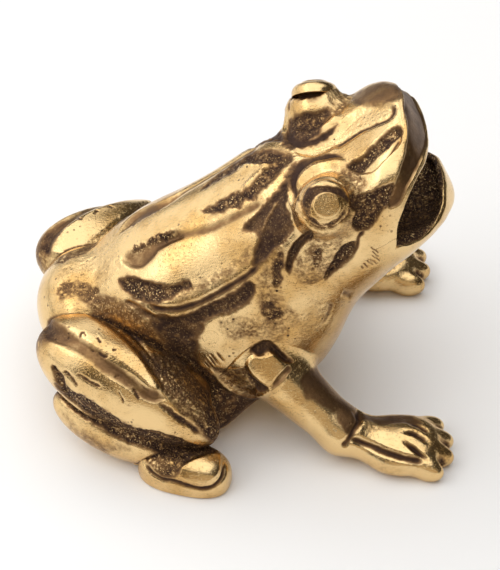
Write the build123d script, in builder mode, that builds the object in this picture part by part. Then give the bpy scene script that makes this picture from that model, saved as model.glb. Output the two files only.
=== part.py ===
from build123d import *
from math import cos, radians, sin, sqrt
import os

# Cast brass frog ornament, hollow, sitting up on its forelegs with its mouth wide open.
# It faces -Y and stands on Z = 0, and its right side is -X. Millimetres and degrees.
# The sections are cast apart, located on dowels and brazed.

# The spine is a straight back line that climbs from the rump to the snout
SPINE_PITCH = 32.0

# Torso
BODY_LENGTH = 70.0
BODY_WIDTH = 50.0
BODY_DEPTH = 60.0
BELLY_CLEARANCE = 2.0
SHELL_WALL = 4.0
# Each row: along the body, width, middle above the back line, crown above the middle, keel below it;
# then the squareness of the upper half and of the lower half
TORSO_STATION_SHARES = (
    (0.000, 0.12, -0.165, 0.045, 0.045, 2.0, 2.0),
    (0.020, 0.28, -0.170, 0.110, 0.110, 2.0, 2.0),
    (0.070, 0.46, -0.202, 0.187, 0.187, 2.0, 2.0),
    (0.150, 0.66, -0.260, 0.287, 0.280, 2.2, 2.1),
    (0.290, 0.88, -0.350, 0.422, 0.415, 2.4, 2.2),
    (0.440, 0.99, -0.397, 0.492, 0.493, 2.25, 2.3),
    (0.590, 1.00, -0.390, 0.493, 0.523, 2.1, 2.5),
    (0.730, 0.99, -0.355, 0.457, 0.543, 2.1, 2.6),
    (0.860, 0.96, -0.302, 0.410, 0.507, 2.2, 2.6),
    (1.000, 0.92, -0.260, 0.367, 0.423, 2.5, 2.4),
)
CORE_STATIONS = slice(3, 9)
# The rump swells behind the rear end, and a web of metal joins the belly to each hind leg
RUMP_WIDTH = 34.0
RUMP_HEIGHT = 27.4
RUMP_SWING = 90.0
RUMP_ALONG_SHARE = 0.080
RUMP_HEIGHT_SHARE = -0.136
WEB_LENGTH = 24.0
WEB_WIDTH = 23.0
WEB_HEIGHT = 13.0
WEB_SIDE_SHARE = 0.36
WEB_ALONG_SHARE = 0.278
WEB_HEIGHT_SHARE = -0.664

# Head and lower jaw part on a plane through the middle of the neck
HEAD_LENGTH = 41.0
HEAD_WIDTH = 47.0
HEAD_HEIGHT = 17.0
# Each row: along the head, width, height above the parting plane; then the squareness of the section
HEAD_STATION_SHARES = (
    (0.195, 0.99, 1.22, 2.9),
    (0.390, 1.00, 1.13, 3.2),
    (0.583, 0.99, 1.09, 3.6),
    (0.759, 0.93, 1.13, 4.0),
    (0.873, 0.78, 1.13, 4.2),
    (0.941, 0.61, 1.11, 4.2),
    (0.985, 0.39, 1.07, 4.0),
    (1.000, 0.18, 1.01, 3.8),
)
JAW_LENGTH = 37.2
JAW_WIDTH = 45.0
JAW_DEPTH = 16.0
# Each row: along the jaw, width, depth below the parting plane; then the squareness of the section
JAW_STATION_SHARES = (
    (0.266, 1.035, 1.30, 2.3),
    (0.492, 1.035, 1.09, 2.3),
    (0.700, 0.940, 1.01, 2.3),
    (0.825, 0.810, 0.98, 2.3),
    (0.922, 0.630, 0.94, 2.3),
    (0.976, 0.410, 0.88, 2.3),
    (1.000, 0.180, 0.81, 2.3),
)
ARCH_ANGLES = (0.0, 6.0, 20.0, 40.0, 60.0, 90.0, 120.0, 140.0, 160.0, 174.0, 180.0)

# The open mouth: the side outlines of the two lips, and the hollow behind them
# Each row: along the head and height, from the corner of the mouth forward along the upper lip
UPPER_LIP_SHARES = ((0.50, 0.0), (0.57, 0.15), (0.65, 0.36), (0.74, 0.50), (0.86, 0.56), (1.02, 0.57))
# Each row: along the jaw and depth, from the corner of the mouth forward along the lower lip
LOWER_LIP_SHARES = ((0.575, 0.0), (0.67, 0.25), (0.77, 0.41), (0.88, 0.52), (1.04, 0.57))
# Each row: along the head, width of the hollow, its roof in head heights, its floor in jaw depths
MOUTH_STATION_SHARES = (
    (0.29, 0.22, 0.18, 0.20),
    (0.38, 0.46, 0.48, 0.42),
    (0.52, 0.66, 0.68, 0.60),
    (0.70, 0.72, 0.72, 0.60),
    (0.84, 0.56, 0.70, 0.54),
    (0.92, 0.36, 0.66, 0.48),
)

# Eyes, set in sockets in the lids
LID_RADIUS = 7.8
LID_SIDE_SHARE = 0.395
LID_ALONG_SHARE = 0.342
LID_HEIGHT_SHARE = 0.95
EYE_RADIUS = 5.2
EYE_SHANK = 4.0
EYE_DOME = 2.4
EYE_LIFT = 38.0

# Forelegs: a bent taper from the shoulder's ball, sunk in the torso, down to a flat wrist
SHOULDER_SIDE_SHARE = 0.412
SHOULDER_ALONG_SHARE = 0.611
SHOULDER_HEIGHT_SHARE = -0.592
SHOULDER_RADIUS = 10.0
WRIST_HEIGHT = 5.2
ARM_REACH = 32.5
ARM_SPREAD = 14.3
ELBOW_DROP = 3.4
ELBOW_OUTSET = 3.2
# Each row: along the arm, bend of the elbow, half width and half height of the section
ARM_STATION_SHARES = (
    (0.00, 0.00, 1.00, 1.00),
    (0.15, 0.28, 0.92, 0.92),
    (0.30, 0.55, 0.83, 0.83),
    (0.62, 1.00, 0.60, 0.60),
    (0.85, 0.45, 0.645, 0.53),
    (1.00, 0.00, 0.83, 0.485),
)
SHOULDER_BALL_SHARE = 1.05

# Forefeet: a flat palm with four blunt toes
PALM_LENGTH = 11.0
PALM_WIDTH = 19.0
PALM_HEIGHT = 9.9
PALM_SWING = 6.0
# Each row: along the palm, width, height
PALM_STATION_SHARES = ((0.35, 1.0, 1.0), (0.70, 0.96, 0.95), (1.0, 0.80, 0.78))
TOE_RADIUS = 3.0
TOE_LENGTH = 6.5
# Each row: root along the palm and across it; then the swing of the toe
TOE_ROOT_SHARES = ((0.56, -0.36, -10.0), (0.74, -0.12, 0.0), (0.70, 0.14, 9.0), (0.42, 0.36, 20.0))

# Hind legs: the haunch and the thigh run forward to the knee, the shank back to the heel, the foot forward
HAUNCH_LENGTH = 46.0
HAUNCH_HEIGHT = 23.0
HAUNCH_THICKNESS = 20.0
HAUNCH_PITCH = -18.0
HAUNCH_SWING = 18.0
HAUNCH_SIDE_SHARE = 0.38
HAUNCH_ALONG_SHARE = 0.173
HAUNCH_HEIGHT_SHARE = -0.293
THIGH_LENGTH = 53.0
THIGH_HEIGHT = 26.0
THIGH_THICKNESS = 20.0
THIGH_PITCH = -20.0
THIGH_SWING = 23.0
THIGH_SIDE_SHARE = 0.556
THIGH_ALONG_SHARE = 0.159
THIGH_HEIGHT_SHARE = -0.300
SHANK_LENGTH = 39.0
SHANK_HEIGHT = 17.6
SHANK_THICKNESS = 16.0
SHANK_PITCH = -10.0
SHANK_SWING = 26.0
SHANK_SETBACK = 2.4
SHANK_OUTSET = 1.0
FOOT_LENGTH = 25.2
FOOT_WIDTH = 14.4
FOOT_HEIGHT = 15.2
FOOT_SWING = 20.0
FOOT_ADVANCE = 14.2
FOOT_OUTSET = 11.8
# Each row: along a swelling mass, size of its section
EGG_STATION_SHARES = (
    (0.00, 0.10),
    (0.03, 0.36),
    (0.12, 0.66),
    (0.30, 0.92),
    (0.50, 1.00),
    (0.70, 0.92),
    (0.88, 0.66),
    (0.97, 0.36),
    (1.00, 0.10),
)
# How far the middle of each mass stands above the floor, in its half heights
PALM_SOLE_SHARE = 0.94
SHANK_SOLE_SHARE = 1.06
FOOT_SOLE_SHARE = 0.37

# Dowels and plugs
DOWEL_RADIUS = 1.5
DOWEL_LENGTH = 10.0
FIT_CLEARANCE = 0.05
NECK_DOWEL_SIDE_SHARE = 0.25
NECK_DOWEL_RISE_SHARE = 0.45
THROAT_DOWEL_DROP_SHARE = 0.60
JAW_DOWEL_SIDE_SHARE = 0.34
JAW_DOWEL_ALONG_SHARE = 0.14
# Each row: side, along and above, of the torso
HIP_SEAT_SHARES = ((0.315, 0.15, -0.255), (0.375, 0.22, -0.30))
# Along the arm, and the bend of the elbow there
SHOULDER_SEAT_SHARES = (0.12, 0.224)
KNEE_SEAT_HEIGHT = 8.5
ANKLE_SEAT_SHARE = 0.16
BELLY_PLUG_RADIUS = 8.0
BELLY_PLUG_ALONG_SHARE = 0.39
BELLY_PLUG_DROP_SHARE = -0.77
CORE_PIN_RADIUS = 2.2
CORE_PIN_SIDE_SHARE = 0.46
CORE_PIN_ALONG_SHARE = 0.54
CORE_PIN_DROP_SHARE = -0.28

os.makedirs("parts", exist_ok=True)
pitch_cos = cos(radians(SPINE_PITCH))
pitch_sin = sin(radians(SPINE_PITCH))
UP = Vector(0, 0, 1)


def heading(pitch, swing):
    """The direction of a limb on the right side: forward, swung outward and tilted up."""
    flat = cos(radians(pitch))
    return Vector(-flat * sin(radians(swing)), -flat * cos(radians(swing)), sin(radians(pitch)))


def along_spine(along, above):
    """How far forward and how high a point lies from the rump end of the back line."""
    return along * pitch_cos - above * pitch_sin, along * pitch_sin + above * pitch_cos


# The frame: the belly clears the floor, and the origin is midway between the chin and the rump's rear
neck_row = TORSO_STATION_SHARES[-1]
neck_half_width = neck_row[1] * BODY_WIDTH / 2
parting_height = neck_row[2] * BODY_DEPTH
neck_rise, neck_drop = neck_row[3] * BODY_DEPTH, neck_row[4] * BODY_DEPTH
belly_low = min(
    along_spine(along * BODY_LENGTH, (middle - keel) * BODY_DEPTH)[1]
    for along, wide, middle, crown, keel, upper, lower in TORSO_STATION_SHARES
)
rump_height = BELLY_CLEARANCE - belly_low
rear_reach = along_spine(RUMP_ALONG_SHARE * BODY_LENGTH, RUMP_HEIGHT_SHARE * BODY_DEPTH)[0] - RUMP_HEIGHT / 2
chin_height = parting_height - JAW_STATION_SHARES[-1][2] * JAW_DEPTH
front_reach = along_spine(BODY_LENGTH + JAW_LENGTH, chin_height)[0]
rump_setback = (front_reach + rear_reach) / 2


def body_point(side, along, above):
    """A point of the right side, given from the rump end of the back line."""
    fore, rise = along_spine(along, above)
    return Vector(-side, rump_setback - fore, rump_height + rise)


def torso_point(side_share, along_share, above_share):
    """A point of the right side, in shares of the torso."""
    return body_point(side_share * BODY_WIDTH, along_share * BODY_LENGTH, above_share * BODY_DEPTH)


spine = Plane(origin=body_point(0, 0, 0), x_dir=(1, 0, 0), z_dir=(0, -pitch_cos, pitch_sin))
profile = Plane(origin=body_point(0, BODY_LENGTH, parting_height), x_dir=spine.z_dir, z_dir=(-1, 0, 0))


def across(point, direction):
    """The plane of a limb's section, with its own Y upright."""
    return Plane(origin=point, x_dir=UP.cross(direction), z_dir=direction)


def mirrored(seat):
    """The same seat on the left side."""
    point, direction = seat.origin, seat.z_dir
    return Plane(origin=(-point.X, point.Y, point.Z), z_dir=(-direction.X, direction.Y, direction.Z))


def both(seats):
    """Seats on the right side and on the left."""
    return list(seats) + [mirrored(seat) for seat in seats]


def ellipse_face(plane, half_width, half_height):
    """An elliptical section on a plane."""
    with BuildSketch(plane) as section:
        Ellipse(half_width, half_height)
    return section.sketch


def arch_rim(half_width, rise, squareness):
    """Points of a superellipse arch over its chord, from one end to the other, upward or downward."""
    power = 2 / squareness
    rim = []
    for angle in ARCH_ANGLES:
        wide, tall = cos(radians(angle)), sin(radians(angle))
        side = half_width if wide >= 0 else -half_width
        rim.append((side * abs(wide) ** power, rise * abs(tall) ** power))
    return rim


def arch_face(along, half_width, rise, squareness):
    """A section of the head or the jaw, which stands on the parting line at a place in front of the neck."""
    plane = Plane(
        origin=body_point(0, BODY_LENGTH + along, parting_height), x_dir=spine.x_dir, z_dir=spine.z_dir)
    with BuildSketch(plane) as section:
        with BuildLine():
            arch = Spline(*arch_rim(half_width, rise, squareness))
            Line(arch @ 1, arch @ 0)
        make_face()
    return section.sketch


def body_face(row, wall):
    """A section of the torso, set in by a wall: a closed curve from the crown round the keel and back."""
    along, wide, middle, crown, keel, upper, lower = row
    half_width = wide * BODY_WIDTH / 2 - wall
    over = arch_rim(half_width, crown * BODY_DEPTH - wall, upper)
    under = arch_rim(half_width, wall - keel * BODY_DEPTH, lower)
    top = len(over) // 2
    plane = Plane(origin=torso_point(0, along, middle), x_dir=spine.x_dir, z_dir=spine.z_dir)
    with BuildSketch(plane) as section:
        with BuildLine():
            Spline(*over[top:], *under[-2:0:-1], *over[:top], periodic=True)
        make_face()
    return section.sketch


def egg_sections(middle, pitch, swing, length, thickness, height):
    """Sections of a mass that swells between two rounded ends."""
    direction = heading(pitch, swing)
    rear = middle - direction * (length / 2)
    faces = []
    for along, size in EGG_STATION_SHARES:
        station = across(rear + direction * (along * length), direction)
        faces.append(ellipse_face(station, size * thickness / 2, size * height / 2))
    return faces


def drill(seats):
    """Cuts a dowel hole at each seat into the piece being built, one after another."""
    for seat in seats:
        with Locations(seat):
            Cylinder(DOWEL_RADIUS + FIT_CLEARANCE, DOWEL_LENGTH + 2 * FIT_CLEARANCE, mode=Mode.SUBTRACT)


def export(piece, name):
    """Labels a piece and writes it."""
    piece.label = name
    export_step(piece, f"parts/{name}.step")


# Torso form: sections along the spine with the rump and the webs, and the core inside it
rump_middle = torso_point(0, RUMP_ALONG_SHARE, RUMP_HEIGHT_SHARE)
web_middle = torso_point(WEB_SIDE_SHARE, WEB_ALONG_SHARE, WEB_HEIGHT_SHARE)
with BuildPart() as torso_form:
    loft([body_face(row, 0) for row in TORSO_STATION_SHARES])
    loft(egg_sections(rump_middle, 0, RUMP_SWING, RUMP_WIDTH, RUMP_HEIGHT, RUMP_HEIGHT))
    for middle in (web_middle, Vector(-web_middle.X, web_middle.Y, web_middle.Z)):
        loft(egg_sections(middle, 0, 0, WEB_LENGTH, WEB_WIDTH, WEB_HEIGHT))

with BuildPart() as torso_core:
    loft([body_face(row, SHELL_WALL) for row in TORSO_STATION_SHARES[CORE_STATIONS]])

# Seats of the dowels: each Z axis runs along its dowel
neck_seat_height = parting_height + NECK_DOWEL_RISE_SHARE * neck_rise
neck_point = body_point(NECK_DOWEL_SIDE_SHARE * BODY_WIDTH, BODY_LENGTH, neck_seat_height)
neck_seats = both([across(neck_point, spine.z_dir)])
throat_seat_height = parting_height - THROAT_DOWEL_DROP_SHARE * neck_drop
throat_seats = [across(body_point(0, BODY_LENGTH, throat_seat_height), spine.z_dir)]
jaw_along = BODY_LENGTH + JAW_DOWEL_ALONG_SHARE * HEAD_LENGTH
jaw_point = body_point(JAW_DOWEL_SIDE_SHARE * HEAD_WIDTH, jaw_along, parting_height)
jaw_seats = both([Plane(origin=jaw_point, z_dir=spine.y_dir)])
hip_seats = [Plane(origin=torso_point(*row), z_dir=(1, 0, 0)) for row in HIP_SEAT_SHARES]

shoulder = torso_point(SHOULDER_SIDE_SHARE, SHOULDER_ALONG_SHARE, SHOULDER_HEIGHT_SHARE)
wrist = Vector(shoulder.X - ARM_SPREAD, shoulder.Y - ARM_REACH, WRIST_HEIGHT)
arm = wrist - shoulder
elbow_bend = Vector(-ELBOW_OUTSET, 0, -ELBOW_DROP)
arm_points = [shoulder + arm * along + elbow_bend * bend for along, bend, wide, high in ARM_STATION_SHARES]
arm_headings = [
    (arm_points[min(i + 1, len(arm_points) - 1)] - arm_points[max(i - 1, 0)]).normalized()
    for i in range(len(arm_points))
]
shoulder_reach = arm * SHOULDER_SEAT_SHARES[0] + elbow_bend * SHOULDER_SEAT_SHARES[1]
shoulder_seats = [across(shoulder + shoulder_reach, shoulder_reach.normalized())]
wrist_plane = across(wrist, heading(0, PALM_SWING))

haunch_middle = torso_point(HAUNCH_SIDE_SHARE, HAUNCH_ALONG_SHARE, HAUNCH_HEIGHT_SHARE)
thigh_middle = torso_point(THIGH_SIDE_SHARE, THIGH_ALONG_SHARE, THIGH_HEIGHT_SHARE)
shank_height = SHANK_SOLE_SHARE * SHANK_HEIGHT / 2
shank_middle = Vector(thigh_middle.X - SHANK_OUTSET, thigh_middle.Y + SHANK_SETBACK, shank_height)
foot_height = FOOT_SOLE_SHARE * FOOT_HEIGHT / 2
foot_middle = Vector(thigh_middle.X - FOOT_OUTSET, thigh_middle.Y - FOOT_ADVANCE, foot_height)
foot_heading = heading(0, FOOT_SWING)
knee_seats = [Plane(origin=(shank_middle.X, shank_middle.Y, KNEE_SEAT_HEIGHT), z_dir=UP)]
ankle_seats = [across(foot_middle + foot_heading * ((ANKLE_SEAT_SHARE - 0.5) * FOOT_LENGTH), foot_heading)]

# Plugs: the belly plug stands upright under the core, the core pins run across the flanks
belly_seat = Plane(origin=torso_point(0, BELLY_PLUG_ALONG_SHARE, BELLY_PLUG_DROP_SHARE), z_dir=UP)
pin_point = torso_point(CORE_PIN_SIDE_SHARE, CORE_PIN_ALONG_SHARE, CORE_PIN_DROP_SHARE)
pin_seats = both([Plane(origin=pin_point, z_dir=(-1, 0, 0))])
plug_length = BODY_DEPTH / 2
pin_length = BODY_WIDTH / 2

with BuildPart() as torso_wall:
    add(torso_form.part)
    add(torso_core.part, mode=Mode.SUBTRACT)

with BuildPart() as torso_shell:
    add(torso_wall.part)
    with Locations(belly_seat):
        Cylinder(BELLY_PLUG_RADIUS, plug_length, mode=Mode.SUBTRACT)
    for seat in pin_seats:
        with Locations(seat):
            Cylinder(CORE_PIN_RADIUS, pin_length, mode=Mode.SUBTRACT)
    drill(neck_seats + throat_seats + both(hip_seats) + both(shoulder_seats))
export(torso_shell.part, "torso_shell")

with BuildPart() as belly_plug:
    with Locations(belly_seat):
        Cylinder(BELLY_PLUG_RADIUS - FIT_CLEARANCE, plug_length)
    add(torso_wall.part, mode=Mode.INTERSECT)
export(belly_plug.part, "belly_plug")

with BuildPart() as core_pin_plugs:
    with Locations(*pin_seats):
        Cylinder(CORE_PIN_RADIUS - FIT_CLEARANCE, pin_length)
    add(torso_wall.part, mode=Mode.INTERSECT)
export(core_pin_plugs.part, "core_pin_plugs")

# Head: arches on the parting plane from the neck to the snout
with BuildPart() as mouth_hollow:
    hollow_faces = []
    for along, wide, roof, floor in MOUTH_STATION_SHARES:
        top, bottom = roof * HEAD_HEIGHT, -floor * JAW_DEPTH
        middle = body_point(0, BODY_LENGTH + along * HEAD_LENGTH, parting_height + (top + bottom) / 2)
        station = Plane(origin=middle, x_dir=spine.x_dir, z_dir=spine.z_dir)
        hollow_faces.append(ellipse_face(station, wide * HEAD_WIDTH / 2, (top - bottom) / 2))
    loft(hollow_faces)

lid_middle = body_point(
    LID_SIDE_SHARE * HEAD_WIDTH,
    BODY_LENGTH + LID_ALONG_SHARE * HEAD_LENGTH,
    parting_height + LID_HEIGHT_SHARE * HEAD_HEIGHT,
)
eye_heading = Vector(-cos(radians(EYE_LIFT)), 0, sin(radians(EYE_LIFT)))
eye_seat_depth = sqrt(LID_RADIUS ** 2 - EYE_RADIUS ** 2) - EYE_SHANK
eye_seat = Plane(origin=lid_middle + eye_heading * eye_seat_depth, z_dir=eye_heading)
eye_swing = Vector(0, 1, 0).cross(eye_heading)

with BuildPart() as head_shell:
    faces = [arch_face(0, neck_half_width, neck_rise, neck_row[5])]
    for along, wide, high, squareness in HEAD_STATION_SHARES:
        faces.append(arch_face(along * HEAD_LENGTH, wide * HEAD_WIDTH / 2, high * HEAD_HEIGHT, squareness))
    loft(faces)
    with BuildSketch(profile) as upper_gape:
        with BuildLine():
            lip = Spline(*[(along * HEAD_LENGTH, high * HEAD_HEIGHT) for along, high in UPPER_LIP_SHARES])
            Polyline(lip @ 1, ((lip @ 1).X, -HEAD_HEIGHT), ((lip @ 0).X, -HEAD_HEIGHT), lip @ 0)
        make_face()
    extrude(amount=HEAD_WIDTH, both=True, mode=Mode.SUBTRACT)
    with Locations(lid_middle, (-lid_middle.X, lid_middle.Y, lid_middle.Z)):
        Sphere(LID_RADIUS)
    add(mouth_hollow.part, mode=Mode.SUBTRACT)
    with Locations(*both([eye_seat])):
        Cylinder(
            EYE_RADIUS + FIT_CLEARANCE,
            LID_RADIUS,
            align=(Align.CENTER, Align.CENTER, Align.MIN),
            mode=Mode.SUBTRACT,
        )
    drill(neck_seats + jaw_seats)
export(head_shell.part, "head_shell")

with BuildPart() as lower_jaw:
    faces = [arch_face(0, neck_half_width, -neck_drop, neck_row[6])]
    for along, wide, deep, squareness in JAW_STATION_SHARES:
        faces.append(arch_face(along * JAW_LENGTH, wide * JAW_WIDTH / 2, -deep * JAW_DEPTH, squareness))
    loft(faces)
    with BuildSketch(profile) as lower_gape:
        with BuildLine():
            lip = Spline(*[(along * JAW_LENGTH, -deep * JAW_DEPTH) for along, deep in LOWER_LIP_SHARES])
            Polyline(lip @ 1, ((lip @ 1).X, JAW_DEPTH), ((lip @ 0).X, JAW_DEPTH), lip @ 0)
        make_face()
    extrude(amount=JAW_WIDTH, both=True, mode=Mode.SUBTRACT)
    add(mouth_hollow.part, mode=Mode.SUBTRACT)
    drill(throat_seats + jaw_seats)
export(lower_jaw.part, "lower_jaw")

# Right-hand pieces, with the left ones as their mirror images
with BuildPart() as eye_right:
    with BuildSketch(Plane(origin=eye_seat.origin, x_dir=(0, 1, 0), z_dir=eye_swing)):
        with BuildLine():
            rim = (EYE_RADIUS, EYE_SHANK)
            Polyline((0, EYE_SHANK + EYE_DOME), (0, 0), (EYE_RADIUS, 0), rim)
            RadiusArc(rim, (0, EYE_SHANK + EYE_DOME), -(EYE_RADIUS ** 2 + EYE_DOME ** 2) / (2 * EYE_DOME))
        make_face()
    revolve(axis=Axis(eye_seat.origin, eye_heading))

with BuildPart() as foreleg_right:
    faces = []
    for point, direction, row in zip(arm_points, arm_headings, ARM_STATION_SHARES):
        plane = wrist_plane if point is arm_points[-1] else across(point, direction)
        faces.append(ellipse_face(plane, row[2] * SHOULDER_RADIUS, row[3] * SHOULDER_RADIUS))
    wrist_face = faces[-1]
    loft(faces)
    with Locations(shoulder):
        Sphere(SHOULDER_BALL_SHARE * SHOULDER_RADIUS)
    add(torso_form.part, mode=Mode.SUBTRACT)
    drill(shoulder_seats + [wrist_plane])

with BuildPart() as forefoot_right:
    faces = [wrist_face]
    for along, wide, high in PALM_STATION_SHARES:
        middle = wrist + wrist_plane.z_dir * (along * PALM_LENGTH)
        middle.Z = PALM_SOLE_SHARE * high * PALM_HEIGHT / 2
        station = across(middle, wrist_plane.z_dir)
        faces.append(ellipse_face(station, wide * PALM_WIDTH / 2, high * PALM_HEIGHT / 2))
    loft(faces)
    for along, side, swing in TOE_ROOT_SHARES:
        root = wrist + wrist_plane.z_dir * (along * PALM_LENGTH) - wrist_plane.x_dir * (side * PALM_WIDTH)
        root.Z = PALM_SOLE_SHARE * TOE_RADIUS
        toe_plane = across(root, heading(0, PALM_SWING + swing))
        with Locations(toe_plane):
            Cylinder(TOE_RADIUS, TOE_LENGTH, align=(Align.CENTER, Align.CENTER, Align.MIN))
        with Locations(root + toe_plane.z_dir * TOE_LENGTH):
            Sphere(TOE_RADIUS)
    split(bisect_by=Plane.XY, keep=Keep.TOP)
    drill([wrist_plane])

with BuildPart() as thigh_form:
    haunch_size = (HAUNCH_LENGTH, HAUNCH_THICKNESS, HAUNCH_HEIGHT)
    loft(egg_sections(haunch_middle, HAUNCH_PITCH, HAUNCH_SWING, *haunch_size))
    thigh_size = (THIGH_LENGTH, THIGH_THICKNESS, THIGH_HEIGHT)
    loft(egg_sections(thigh_middle, THIGH_PITCH, THIGH_SWING, *thigh_size))

with BuildPart() as shank_form:
    shank_size = (SHANK_LENGTH, SHANK_THICKNESS, SHANK_HEIGHT)
    loft(egg_sections(shank_middle, SHANK_PITCH, SHANK_SWING, *shank_size))

with BuildPart() as thigh_right:
    add(thigh_form.part)
    add(torso_form.part, mode=Mode.SUBTRACT)
    drill(hip_seats + knee_seats)

with BuildPart() as shank_right:
    add(shank_form.part)
    split(bisect_by=Plane.XY, keep=Keep.TOP)
    add(thigh_form.part, mode=Mode.SUBTRACT)
    drill(knee_seats + ankle_seats)

with BuildPart() as hind_foot_right:
    loft(egg_sections(foot_middle, 0, FOOT_SWING, FOOT_LENGTH, FOOT_WIDTH, FOOT_HEIGHT))
    split(bisect_by=Plane.XY, keep=Keep.TOP)
    add(thigh_form.part, mode=Mode.SUBTRACT)
    add(shank_form.part, mode=Mode.SUBTRACT)
    drill(ankle_seats)

for name, right in (
    ("eye", eye_right),
    ("foreleg", foreleg_right),
    ("forefoot", forefoot_right),
    ("thigh", thigh_right),
    ("shank", shank_right),
    ("hind_foot", hind_foot_right),
):
    export(right.part, f"{name}_right")
    with BuildPart() as left:
        mirror(right.part, about=Plane.YZ)
    export(left.part, f"{name}_left")

# Dowels, one node for each joint
for name, seats in (
    ("neck_dowels", neck_seats),
    ("throat_dowel", throat_seats),
    ("jaw_dowels", jaw_seats),
    ("hip_dowels", both(hip_seats)),
    ("shoulder_dowels", both(shoulder_seats)),
    ("wrist_dowels", both([wrist_plane])),
    ("knee_dowels", both(knee_seats)),
    ("ankle_dowels", both(ankle_seats)),
):
    with BuildPart() as dowels:
        with Locations(*seats):
            Cylinder(DOWEL_RADIUS, DOWEL_LENGTH)
    export(dowels.part, name)
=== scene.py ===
"""Looks of a cast brass frog ornament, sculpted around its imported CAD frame.

Every visible casting is a skin: rays leave a line or a point inside the casting, and each stops where a
smooth field of masses turns from metal to air. Carving then moves the skin along its normals. It is drawn
as strokes on the picture plane of the camera, on the figure's right side, and mirrored to its left unless a
stroke is for one side only. Lengths are millimetres in side, fore and up of the figure until a mesh is
made; side runs outward.
"""
from __future__ import annotations

import logging
import math
from dataclasses import dataclass, field
from enum import Enum
from typing import Any, Callable, ClassVar, Sequence

import bmesh
import bpy
import numpy as np
from mathutils import Matrix


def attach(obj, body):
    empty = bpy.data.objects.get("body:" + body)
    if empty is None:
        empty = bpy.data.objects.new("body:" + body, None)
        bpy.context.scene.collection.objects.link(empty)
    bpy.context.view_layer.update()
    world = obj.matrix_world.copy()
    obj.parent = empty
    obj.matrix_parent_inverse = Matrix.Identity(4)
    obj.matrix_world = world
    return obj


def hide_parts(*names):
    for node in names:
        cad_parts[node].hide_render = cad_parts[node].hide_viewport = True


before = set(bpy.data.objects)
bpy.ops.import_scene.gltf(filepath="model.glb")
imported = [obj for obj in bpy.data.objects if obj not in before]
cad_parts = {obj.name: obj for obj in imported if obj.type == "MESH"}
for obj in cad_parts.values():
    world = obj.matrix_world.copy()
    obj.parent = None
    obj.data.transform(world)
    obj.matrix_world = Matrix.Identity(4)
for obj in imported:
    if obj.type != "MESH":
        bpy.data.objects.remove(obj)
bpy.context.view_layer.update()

log = logging.getLogger("frog")
Array = np.ndarray
Field = Callable[[Array], Array]
Point = tuple[float, float, float]
Pixel = tuple[float, float]
Step = tuple[float, float]
Noise = tuple[float, int]
Views = dict["Hand", tuple[Array, Array]]

MM = 0.001
BODY = "root"
PICTURE = (500, 570)
MERGE = 4e-7
TINY = 1e-9
LAP = 1.6
LAP_STEPS = 6
LAP_SINK = 0.35
HANDS = (("right", False), ("left", True))


# Arithmetic of fields and noise

def smooth(value: Array, low: float, high: float) -> Array:
    """A soft step from 0 at low to 1 at high: three squares less two cubes."""
    share = np.clip((value - low) / (high - low), 0.0, 1.0)
    return share * share * (3.0 - 2.0 * share)


def soft_min(first: Array, second: Array, blend: float) -> Array:
    """The lesser of two fields, with a round fillet of the given size where they meet."""
    near = np.maximum(blend - np.abs(first - second), 0.0) / blend
    return np.minimum(first, second) - near * near * blend * 0.25


def soft_max(first: Array, second: Array, blend: float) -> Array:
    """The greater of two fields, with a round edge of the given size where they meet."""
    return -soft_min(-first, -second, blend)


def union(fields: Sequence[Array], blend: float) -> Array:
    """All the masses joined with fillets.

    Args:
        fields: The masses' fields at the same places.
        blend: The size of the fillets.

    Returns:
        The field of the whole.
    """
    joined = fields[0]
    for other in fields[1:]:
        joined = soft_min(joined, other, blend)
    return joined


def stations(where: Array, knots: Array, values: Array) -> Array:
    """A smooth curve through stations: cubic pieces with slopes from the neighbouring stations.

    Args:
        where: Places to read the curve at.
        knots: Places of the stations, ascending.
        values: Heights of the curve at the stations.

    Returns:
        The curve at each place, level beyond the end stations.
    """
    slopes = np.gradient(values, knots)
    index = np.clip(np.searchsorted(knots, where) - 1, 0, len(knots) - 2)
    span = knots[index + 1] - knots[index]
    t = np.clip((where - knots[index]) / span, 0.0, 1.0)
    square, cube = t * t, t * t * t
    return (
        (2 * cube - 3 * square + 1) * values[index]
        + (cube - 2 * square + t) * span * slopes[index]
        + (3 * square - 2 * cube) * values[index + 1]
        + (cube - square) * span * slopes[index + 1]
    )


def lengths_along(places: Array) -> Array:
    """The length of a line of places from its start up to each of them: the running sum of its runs."""
    return np.concatenate([[0.0], np.cumsum(np.linalg.norm(np.diff(places, axis=0), axis=-1))])


def full_turn(columns: int) -> Array:
    """Even angles once round, laid out along the columns of a grid of points."""
    return np.linspace(0.0, 2 * math.pi, columns, endpoint=False)[None, :, None]


def turned(pitch: float, swing: float) -> Array:
    """The axes of a mass: pitch lifts its fore end, and swing turns that outward.

    Args:
        pitch: Degrees above level.
        swing: Degrees outward from straight ahead.

    Returns:
        The mass's own side, fore and up, one per row.
    """
    p, s = math.radians(pitch), math.radians(swing)
    fore = np.array([math.sin(s) * math.cos(p), math.cos(s) * math.cos(p), math.sin(p)])
    side = np.array([math.cos(s), -math.sin(s), 0.0])
    return np.stack([side, fore, np.cross(side, fore)])


@dataclass(frozen=True)
class Ball:
    """A superellipsoid mass: squareness 2 is an ellipsoid, more makes it boxy."""

    middle: Point
    radii: Point
    pitch: float = 0.0
    swing: float = 0.0
    squareness: float = 2.0

    def depth(self, points: Array) -> Array:
        """The norm of the scaled place less 1, times the least radius.

        Args:
            points: Places in side, fore and up.

        Returns:
            The field, negative inside.
        """
        local = (points - np.array(self.middle)) @ turned(self.pitch, self.swing).T
        shares = np.abs(local / np.array(self.radii)) + TINY
        norm = (shares ** self.squareness).sum(axis=-1) ** (1.0 / self.squareness)
        return (norm - 1.0) * min(self.radii)


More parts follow.
